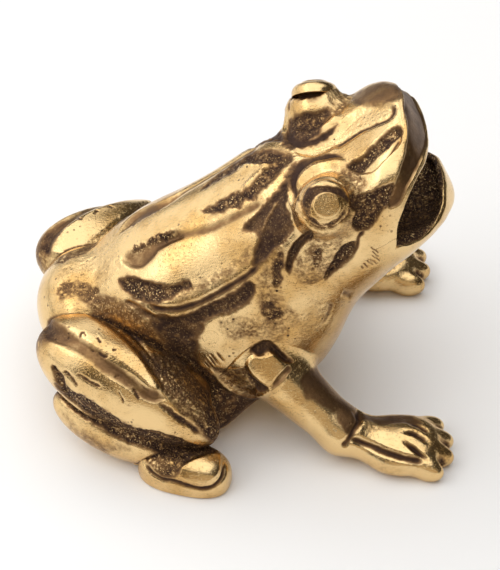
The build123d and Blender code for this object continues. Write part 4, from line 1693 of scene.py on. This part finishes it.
TRUNK_STROKES = (
    *SHOULDER_STROKES,
    # The fold along the flank's upper edge: a roll, a sharp groove on it and a rough undercut below, dark
    # with patina and painted shade
    Stroke(((142, 298), (172, 303), (200, 297), (228, 283), (252, 268), (275, 250)), 12.0, 1.1),
    Stroke(((146, 301), (155, 307), (172, 309), (190, 305), (206, 299), (221, 291), (233, 284),
            (247, 275), (262, 262)), 3.4, -1.0, Cut.CREASE, patina_and_shade=1.0, fade=0.1),
    Patch(((126, 300), (140, 305), (150, 313), (165, 316), (185, 315), (200, 309), (218, 300), (236, 291),
           (251, 281), (255, 286), (252, 296), (243, 306), (232, 312), (218, 316), (206, 323), (199, 334),
           (188, 342), (174, 338), (158, 324), (142, 314)), -1.1, 5.0, patina_and_shade=1.0, grain=0.45,
          crumble=1.6),
    # The hollow behind the fold, beside the haunch
    Patch(((119, 281), (128, 277), (142, 280), (158, 284), (172, 286), (190, 282), (192, 287), (180, 291),
           (171, 298), (158, 301), (146, 300), (136, 299), (128, 293)), -0.9, 4.0, patina_and_shade=1.1, grain=0.9,
          crumble=1.6),
    # The dull upper face of the fold, which fades out along the back's bright plane
    Patch(((176, 287), (198, 281), (220, 271), (238, 258), (252, 245), (256, 254), (246, 265), (232, 276),
           (216, 286), (198, 294), (178, 300)), 0.0, 6.0, patina_and_shade=0.46, grain=0.6, crumble=1.5),
    # The long trough of the back and the valley along it, darkened by painted shade and painted dark
    # reflection, and the dark hollow beside the spine
    Patch(((121, 258), (132, 250), (148, 241), (163, 234), (177, 231), (182, 236), (169, 243), (157, 252),
           (150, 261), (141, 268), (131, 268), (124, 264)), -1.2, 5.0, patina_and_shade=0.62, crumble=0.5),
    Stroke(((158, 245), (174, 236), (192, 233), (210, 228), (235, 216), (264, 200)), 5.0, -0.8,
           patina_and_shade=0.58, fade=0.1),
    Stroke(((127, 254), (142, 246), (160, 237), (176, 231)), 2.6, 0.0, patina_and_shade=0.95, grain=1.0,
           crumble=2.5),
    Patch(((202, 211), (215, 203), (228, 197), (241, 193), (246, 198), (241, 206), (229, 209),
           (214, 213)), -0.5, 4.0, patina_and_shade=1.0, grain=1.0, crumble=2.0),
    # The nape: rough dark furrows with a bright crest between them
    Patch(((240, 196), (250, 184), (264, 168), (280, 156), (294, 153), (286, 165), (274, 178), (262, 190),
           (250, 200)), -0.7, 5.0, patina_and_shade=1.0, grain=0.9, crumble=2.0),
    Stroke(((240, 192), (252, 180), (268, 165), (282, 155)), 2.2, 0.7, Cut.CREASE, patina_and_shade=-0.5),
    Patch(((243, 231), (252, 219), (264, 205), (276, 193), (284, 180), (290, 168), (296, 163), (290, 178),
           (287, 194), (285, 208), (290, 220), (294, 229), (288, 237), (276, 248), (264, 261), (255, 264),
           (254, 254), (258, 240), (255, 233)), -0.7, 4.0, patina_and_shade=0.95, grain=0.3, crumble=1.8),
    Stroke(((260, 236), (266, 219), (279, 197)), 1.6, 0.5, Cut.CREASE, patina_and_shade=-0.45, crumble=1.0),
    # The pitted rump
    Patch(((62, 262), (85, 256), (108, 250), (124, 254), (122, 268), (114, 280), (98, 292), (76, 300),
           (58, 298), (55, 280)), -0.1, 8.0, patina_and_shade=0.2, grain=0.9, crumble=2.0),
    Patch(((57, 285), (75, 283), (92, 285), (99, 293), (92, 301), (75, 298), (60, 300)), -0.4, 4.0,
          patina_and_shade=0.7, grain=1.0, crumble=3.0),
    # The dull plane between the flank and the thigh's ridge: matt grain, and a painted grey reflection
    Patch(((88, 300), (104, 296), (120, 300), (136, 309), (150, 322), (162, 338), (176, 360), (164, 360),
           (148, 344), (130, 328), (110, 317), (90, 311)), 0.0, 5.0, patina_and_shade=0.62, grain=0.7,
          crumble=1.5),
    # The rough side of the neck and the flank
    Patch(((258, 273), (268, 256), (278, 242), (290, 233), (285, 250), (279, 268), (281, 285), (283, 300),
           (297, 312), (301, 322), (281, 331), (262, 331), (262, 310), (256, 295)), -0.2, 6.0,
          patina_and_shade=0.42, grain=0.9, crumble=2.0),
    Patch(((274, 262), (281, 252), (284, 258), (280, 272), (281, 285), (275, 288), (272, 275)), -0.5, 3.0,
          patina_and_shade=0.95, grain=0.9, crumble=1.5),
    Patch(((262, 304), (272, 303), (280, 309), (284, 317), (272, 320), (262, 315)), -0.4, 3.0,
          patina_and_shade=0.85, grain=0.9, crumble=1.5),
    Patch(((216, 322), (236, 316), (262, 318), (290, 325), (285, 340), (255, 340), (225, 336)), 0.0, 6.0,
          patina_and_shade=0.42, grain=1.0, crumble=2.0),
    Stroke(((332, 301), (329, 314), (320, 327)), 2.6, -0.3, patina_and_shade=0.5, grain=0.5, crumble=1.2),
    Stroke(((342, 293), (352, 297)), 4.0, -0.4, patina_and_shade=0.5, crumble=0.4),
    Patch(((306, 300), (322, 296), (330, 310), (326, 330), (308, 340), (296, 330)), 0.0, 8.0, patina_and_shade=0.22,
          grain=0.6, crumble=3.0),
    # The hollow between the belly and the thigh, in painted shade with some grain
    Patch(((150, 322), (182, 326), (196, 342), (198, 362), (215, 381), (235, 392), (258, 400), (242, 412),
           (222, 432), (204, 402), (184, 371), (165, 346)), -0.3, 6.0, patina_and_shade=0.9, grain=0.5,
          crumble=1.5),
    # The eye: its socket, the lid's polished roll, the gap behind the lid and the dotted ring below
    Patch(((347, 203), (340, 220), (325, 227), (309, 221), (301, 205), (308, 186), (325, 178),
           (341, 186)), -1.6, 2.5, patina_and_shade=0.9),
    Patch(((296, 185), (301, 173), (312, 164), (325, 160), (338, 158), (346, 161), (342, 170), (331, 169),
           (318, 172), (308, 178), (301, 187)), 0.9, 4.0, crumble=0.3),
    Patch(((290, 180), (294, 168), (303, 160), (316, 156), (332, 154), (341, 157), (328, 158), (314, 161),
           (304, 168), (298, 177), (296, 186), (298, 201), (293, 192)), -0.6, 2.0, patina_and_shade=1.1),
    Stroke(((291, 169), (287, 184), (290, 200), (297, 214)), 2.2, 0.5, Cut.CREASE),
    Stroke(((301, 196), (303, 208), (308, 219), (317, 227), (328, 229), (338, 223), (346, 216),
            (351, 207)), 2.4, -0.8, patina_and_shade=0.95, grain=0.9, crumble=1.2, fade=0.08),
    # The dark hollow on the far eye's inner side, and the pale trough along the middle of the snout
    Patch(((293, 117), (302, 114), (314, 113), (329, 108), (331, 114), (324, 123), (318, 134), (308, 140),
           (296, 138), (290, 132)), -0.4, 4.0, patina_and_shade=1.0, grain=0.6, crumble=1.5, hand=Hand.FAR),
    Patch(((296, 152), (318, 140), (336, 128), (352, 113), (364, 105), (385, 102), (394, 107), (391, 116),
           (378, 123), (361, 130), (346, 139), (331, 149), (312, 157)), -1.2, 4.0, grain=0.3, crumble=0.4,
          hand=Hand.FAR),
    Stroke(((334, 147), (347, 138), (361, 129), (377, 122), (388, 117), (393, 109), (389, 104)), 3.0,
           -0.7, patina_and_shade=1.2, fade=0.1, crumble=0.1, hand=Hand.FAR),
    # Painted shade on the far top of the snout, where it turns away
    Patch(((350, 98), (360, 90), (374, 84), (388, 81), (402, 88), (404, 95), (394, 101), (378, 104),
           (360, 106)), -0.2, 4.0, patina_and_shade=0.58, crumble=0.6, hand=Hand.FAR),
    # The nostril's groove on the snout: a dark rough wall and a bright floor
    Patch(((348, 166), (363, 153), (378, 139), (391, 128), (400, 125), (403, 132), (401, 143), (393, 152),
           (384, 160), (374, 171), (360, 174)), -1.3, 3.0, crumble=0.4, hand=Hand.NEAR),
    Patch(((348, 167), (363, 154), (378, 140), (392, 128), (400, 126), (402, 131), (394, 137), (384, 147),
           (371, 159), (358, 171)), -0.2, 2.0, patina_and_shade=1.0, grain=0.9, hand=Hand.NEAR),
    Stroke(((399, 136), (391, 149), (381, 162)), 1.6, -0.4, Cut.CREASE, patina_and_shade=0.8, hand=Hand.NEAR),
    # The lip band, with a sharp top edge, darker than the snout by a painted dark reflection
    Patch(((404, 94), (412, 95), (421, 107), (428, 124), (428, 140), (424, 155), (416, 173), (407, 189),
           (397, 206), (390, 208), (394, 187), (400, 170), (406, 150), (408, 124)), -0.6, 1.6,
          patina_and_shade=0.60, crumble=0.3),
    # The dark rough patch between the eye and the mouth
    Patch(((380, 188), (395, 182), (391, 198), (381, 213), (372, 226), (363, 232), (356, 230), (353, 220),
           (357, 211), (349, 206), (341, 203), (342, 196), (352, 194), (366, 194)), -1.0, 2.5, patina_and_shade=1.0,
          grain=1.0, crumble=1.2),
    Patch(((338, 171), (350, 168), (360, 172), (366, 182), (360, 196), (348, 199), (343, 192)), -0.2, 4.0,
          patina_and_shade=0.5, grain=1.0, crumble=1.5),
    Stroke(((366, 230), (359, 237), (357, 248), (350, 260)), 2.0, -0.7, Cut.CREASE, patina_and_shade=0.95),
    # The cheek's leaf between two dark grooves
    Patch(((347, 244), (354, 242), (356, 250), (350, 260), (340, 267), (330, 276), (325, 281), (326, 272),
           (332, 263), (337, 252)), -1.1, 2.5, patina_and_shade=1.0, grain=0.9),
    Patch(((311, 231), (313, 236), (304, 244), (298, 252), (293, 262), (289, 274), (286, 266), (287, 256),
           (292, 246), (300, 237)), -1.1, 2.5, patina_and_shade=1.0, grain=0.5),
    Patch(((302, 248), (313, 240), (330, 238), (342, 238), (341, 248), (332, 262), (322, 279), (308, 284),
           (296, 281), (294, 268)), 0.5, 4.0, patina_and_shade=0.42, grain=1.0, crumble=1.0),
    Patch(((314, 250), (321, 246), (323, 254), (319, 264), (312, 270), (311, 260)), -0.4, 3.0, patina_and_shade=0.8,
          grain=0.8, crumble=1.5),
    Patch(((300, 226), (318, 232), (336, 228), (350, 216), (356, 232), (350, 242), (330, 238),
           (308, 240)), 0.0, 4.0, patina_and_shade=0.34, grain=1.0, crumble=1.5),
    # File marks on the cheek
    *(Stroke(mark, 1.0, -0.3, Cut.CREASE, patina_and_shade=0.7, crumble=0.0) for mark in (
        ((370, 247), (380, 254)), ((371, 251), (380, 258)), ((371, 255), (381, 262)),
        ((369, 259), (379, 265)), ((366, 260), (374, 266)), ((363, 263), (369, 268)),
        ((361, 266), (364, 269)))),
)
EYE_STROKES = (
    # The eyeball: painted shade on the step above its disc, and a rough dotted ring below the disc
    Patch(((303, 198), (307, 189), (318, 186), (332, 187), (343, 191), (348, 200), (341, 197), (334, 193),
           (323, 192), (313, 198), (309, 209), (304, 207)), -0.3, 1.6, patina_and_shade=1.1, grain=0.3,
          hand=Hand.NEAR),
    Stroke(((303, 203), (306, 214), (313, 222), (323, 226), (334, 223), (342, 216), (346, 206)), 2.4,
           -0.3, patina_and_shade=1.0, grain=1.0, crumble=1.6, hand=Hand.NEAR),
    Stroke(((309, 197), (307, 207), (311, 216)), 2.0, -0.2, patina_and_shade=0.8, grain=1.0, crumble=1.6,
           hand=Hand.NEAR),
)
FOREFOOT_STROKES = (
    # The back of the hand: a pale plate between a dark far edge and a groove
    Patch(((352, 411), (362, 412), (380, 414), (400, 415), (413, 417), (424, 423), (408, 423), (392, 424),
           (378, 424), (368, 420), (360, 421)), -0.4, 2.5, patina_and_shade=0.7),
    Stroke(((350, 438), (362, 443), (378, 449), (394, 455), (408, 459), (424, 462)), 3.4, -0.9,
           patina_and_shade=1.05, fade=0.1),
    # The furrows between the toes' roots
    Stroke(((403, 431), (416, 434), (429, 443)), 2.2, -0.8, patina_and_shade=1.0, fade=0.35),
    Stroke(((402, 440), (414, 449), (429, 461)), 2.4, -0.9, patina_and_shade=1.0, fade=0.35),
    Stroke(((406, 421), (420, 426), (430, 434)), 2.2, -0.7, patina_and_shade=0.9, fade=0.35),
    Patch(((364, 422), (376, 420), (378, 430), (368, 434)), -0.1, 3.0, patina_and_shade=0.3, grain=1.0,
          crumble=1.5),
)
FORELEG_STROKES = (
    *FOREFOOT_STROKES,
    # The inner face, darkened by painted shade and painted dark reflection, and the wrist's crease
    Patch(((300, 380), (309, 371), (319, 366), (330, 378), (345, 395), (360, 411), (362, 418), (356, 432),
           (348, 434), (339, 421), (330, 411), (318, 403), (306, 397)), -0.1, 5.0, patina_and_shade=0.62, grain=0.1,
          crumble=1.2),
    Stroke(((358, 408), (359, 420), (354, 430), (349, 440), (341, 448)), 3.2, -0.8, patina_and_shade=1.1,
           fade=0.1),
)
THIGH_STROKES = (
    # The ridge: a bright plane above a sharp edge, and a valley below it, darkened by a painted dark
    # reflection
    Patch(((46, 316), (58, 309), (72, 309), (96, 318), (116, 331), (134, 348), (150, 369), (161, 391),
           (156, 397), (138, 381), (118, 364), (96, 349), (72, 335), (52, 328)), 0.9, 5.0, crumble=0.3),
    Patch(((44, 326), (56, 325), (72, 334), (92, 346), (110, 361), (130, 374), (150, 389), (162, 394),
           (166, 399), (156, 403), (142, 399), (124, 386), (108, 376), (90, 362), (72, 350), (54, 343),
           (44, 338)), -0.8, 4.0, patina_and_shade=0.56, crumble=0.5),
    # The plane behind the ridge in a painted grey reflection, and the rough hollow at the knee's inner
    # side, dark with patina and painted shade
    Stroke(((60, 303), (92, 309), (118, 322), (140, 342), (156, 362)), 3.0, -0.6, Cut.CREASE,
           patina_and_shade=0.4),
    Patch(((140, 352), (155, 355), (175, 358), (190, 372), (206, 389), (224, 404), (223, 430), (215, 441),
           (205, 436), (196, 424), (184, 415), (172, 402), (163, 391), (155, 377), (147, 364)), -0.3, 4.0,
          patina_and_shade=0.78, grain=1.0, crumble=1.5),
    # The rough crease above the shank
    Patch(((53, 366), (62, 374), (67, 387), (79, 395), (93, 403), (109, 414), (123, 423), (136, 429),
           (152, 431), (172, 437), (192, 444), (206, 449), (222, 450), (222, 460), (200, 458), (180, 454),
           (160, 449), (142, 444), (127, 439), (111, 431), (94, 421), (77, 411), (65, 399), (56, 384)),
          -1.2, 3.0, patina_and_shade=1.0, grain=0.9, crumble=1.2),
    # The notched edge above the knee
    Stroke(((156, 402), (166, 408), (175, 416), (184, 422), (194, 429), (204, 437)), 3.0, -0.6,
           patina_and_shade=1.0, grain=0.4, crumble=1.6),
    # Casting flaws
    *(Stroke(flaw, 1.3, -0.3, patina_and_shade=0.9, crumble=0.6) for flaw in (
        ((79, 339), (83, 334), (87, 339)), ((97, 339), (101, 345)), ((98, 350), (103, 356), (109, 357)),
        ((112, 352), (117, 351)), ((114, 378), (119, 376)), ((91, 349), (94, 351)))),
    Stroke(((76, 373), (88, 381), (103, 388)), 1.6, -0.3, patina_and_shade=1.0, grain=0.5, crumble=0.8),
    Stroke(((62, 370), (70, 376), (78, 388)), 2.0, -0.4, patina_and_shade=1.0, grain=0.6, crumble=0.8),
    Stroke(((118, 391), (121, 396), (124, 403)), 1.0, -0.2, patina_and_shade=1.1, crumble=0.6),
    Stroke(((133, 388), (136, 394), (139, 400)), 1.2, -0.25, patina_and_shade=1.1, crumble=0.6),
)
SHANK_STROKES = (
    Patch(((53, 366), (64, 376), (80, 392), (109, 410), (136, 424), (172, 432), (222, 446), (222, 462),
           (180, 456), (142, 447), (111, 434), (94, 424), (77, 414), (65, 402), (56, 386)), -0.8, 3.0,
          patina_and_shade=1.0, grain=0.9, crumble=1.2),
    Stroke(((64, 388), (76, 402), (94, 413), (112, 423)), 2.2, 0.6, Cut.CREASE, patina_and_shade=-1.0),
    # The shank's lower part: painted shade with some grain
    Patch(((60, 408), (76, 424), (98, 438), (120, 445), (134, 450), (112, 454), (88, 446), (68, 428)),
          -0.1, 6.0, patina_and_shade=0.42, grain=0.3, crumble=2.0),
)
HIND_FOOT_STROKES = (
    # The foot's upper face: a rough dark part and a smooth pale part, with a groove round them
    Patch(((138, 446), (150, 438), (168, 446), (184, 452), (192, 459), (184, 466), (178, 474), (172, 478),
           (160, 474), (150, 466), (143, 456)), -0.4, 3.0, patina_and_shade=0.75, grain=1.0, crumble=1.5),
    Patch(((180, 466), (192, 459), (222, 455), (221, 466), (217, 477), (210, 483), (198, 485), (185, 482),
           (179, 477)), 0.4, 2.5, crumble=0.3),
    Stroke(((144, 462), (152, 473), (162, 479), (176, 482), (186, 486), (200, 489), (213, 487),
            (222, 477), (225, 462)), 2.0, -0.6, patina_and_shade=0.9, fade=0.1),
)


@dataclass
class Plugs:
    """The plugs that close the core's holes, filed flush with the torso."""

    belly_along: float = 27.3
    belly_above: float = -46.2
    belly_lift: float = 6.0
    belly_radius: float = 7.95
    pin_side: float = 14.0
    pin_along: float = 37.8
    pin_above: float = -16.8
    pin_radius: float = 2.15
    thickness: float = 1.6
    proud: float = 0.06
    longest: float = 30.0
    rings: int = 24
    columns: int = 72
    carving: Carving = field(default_factory=lambda: Carving(ripple=0.02, grain=0.2))

    def disc(self, middle: Array, axis: Array, radius: float) -> Array:
        """A coin whose face follows the torso: rays along the axis over a round outline stop at the skin.

        Args:
            middle: A point inside the torso under the plug.
            axis: The way out.
            radius: The plug's radius.

        Returns:
            Points in rows and columns.
        """
        first = np.cross(axis, (0.0, 1.0, 0.0))
        first /= np.linalg.norm(first)
        second = np.cross(axis, first)
        turn = full_turn(self.columns)
        out = np.linspace(0.0, 1.0, self.rings)[:, None, None] * radius
        base = (middle + (np.cos(turn) * first + np.sin(turn) * second) * out).reshape(-1, 3)
        run = reach(whole_trunk, base, np.broadcast_to(axis, base.shape), self.longest)
        face = (base + axis * (run + self.proud)[:, None]).reshape(self.rings, self.columns, 3)
        return np.concatenate([face, (face - axis * self.thickness)[::-1]])

    def build(self, foundry: Foundry) -> None:
        """Casts the belly plug and the pair of core pin plugs.

        Args:
            foundry: What casts them.
        """
        middle = BACK.out(np.array([0.0, self.belly_along, self.belly_above])) + (0.0, 0.0, self.belly_lift)
        plug = self.disc(middle, np.array([0.0, 0.0, -1.0]), self.belly_radius)
        foundry.cast("belly_disc", "belly_plug", plug, self.carving)
        middle = BACK.out(np.array([self.pin_side, self.pin_along, self.pin_above]))
        pin = self.disc(middle, np.array([1.0, 0.0, 0.0]), self.pin_radius)
        for hand, left in HANDS:
            foundry.cast(f"pin_disc_{hand}", "core_pin_plugs", pin, self.carving, left=left)


@dataclass(frozen=True)
class SoftBox:
    """A flat lamp that faces its aim: metres and watts."""

    name: str
    place: Point
    aim: Point
    width: float
    height: float
    watts: float
    colour: Point = (1.0, 1.0, 1.0)

    def build(self) -> None:
        """Makes the lamp and points its own down at its aim."""
        data = bpy.data.lights.new(self.name, "AREA")
        data.shape = "RECTANGLE"
        data.size = self.width
        data.size_y = self.height
        data.energy = self.watts
        data.color = self.colour
        lamp = bpy.data.objects.new(self.name, data)
        lamp.location = self.place
        side, back, up = np.array(self.aim) - np.array(self.place)
        tilt = math.atan2(math.hypot(side, back), -up)
        lamp.rotation_euler = (tilt, 0.0, math.atan2(side, -back) + math.pi)
        bpy.context.scene.collection.objects.link(lamp)


@dataclass
class Studio:
    """The pale floor, the soft boxes and the dim room round the figure."""

    floor_size: float = 6.0
    room: Colour = (0.058, 0.050, 0.042, 1.0)
    boxes: tuple[SoftBox, ...] = (
        SoftBox("top_box", (0.05, 0.15, 1.10), (0.0, 0.0, 0.03), 2.0, 2.0, 19.0),
        SoftBox("rear_box", (0.20, 1.05, 0.60), (0.0, 0.0, 0.04), 2.7, 1.1, 11.5),
        SoftBox("camera_card", (-1.30, -0.10, 0.42), (0.0, 0.0, 0.04), 1.7, 0.9, 2.4, (1.0, 0.86, 0.66)),
        SoftBox("far_box", (0.95, 0.10, 0.60), (0.0, 0.0, 0.03), 0.6, 0.4, 0.8),
    )

    def build(self) -> None:
        """Makes the floor, the lights and the room."""
        half = self.floor_size / 2
        mesh = bpy.data.meshes.new("floor")
        corners = [(-half, -half, 0.0), (half, -half, 0.0), (half, half, 0.0), (-half, half, 0.0)]
        mesh.from_pydata(corners, [], [(0, 1, 2, 3)])
        floor = bpy.data.objects.new("floor", mesh)
        mesh.materials.append(PaleFloor().material())
        bpy.context.scene.collection.objects.link(floor)
        for box in self.boxes:
            box.build()
        world = bpy.data.worlds.new("room")
        world.use_nodes = True
        background = world.node_tree.nodes["Background"]
        background.inputs["Color"].default_value = self.room
        bpy.context.scene.world = world
        bpy.context.scene.view_settings.view_transform = "Standard"


def main() -> None:
    """Builds the castings in order and dresses the CAD nodes that stay."""
    logging.basicConfig(level=logging.INFO, format="%(message)s")
    CAMERA.place()
    Studio().build()
    foundry = Foundry(CastBrass().material())
    gape = Gape()
    castings = (
        TorsoCasting(), HeadCasting(gape), JawCasting(gape), ForelegCastings(), HindLegCastings(), Plugs())
    for casting in castings:
        casting.build(foundry)
    rod = DrawnBrass().material()
    for name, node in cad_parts.items():
        if "dowel" in name:
            node.data.materials.clear()
            node.data.materials.append(rod)
            log.info("%s: kept from the CAD, in drawn brass", name)


if __name__ == "__main__":
    main()
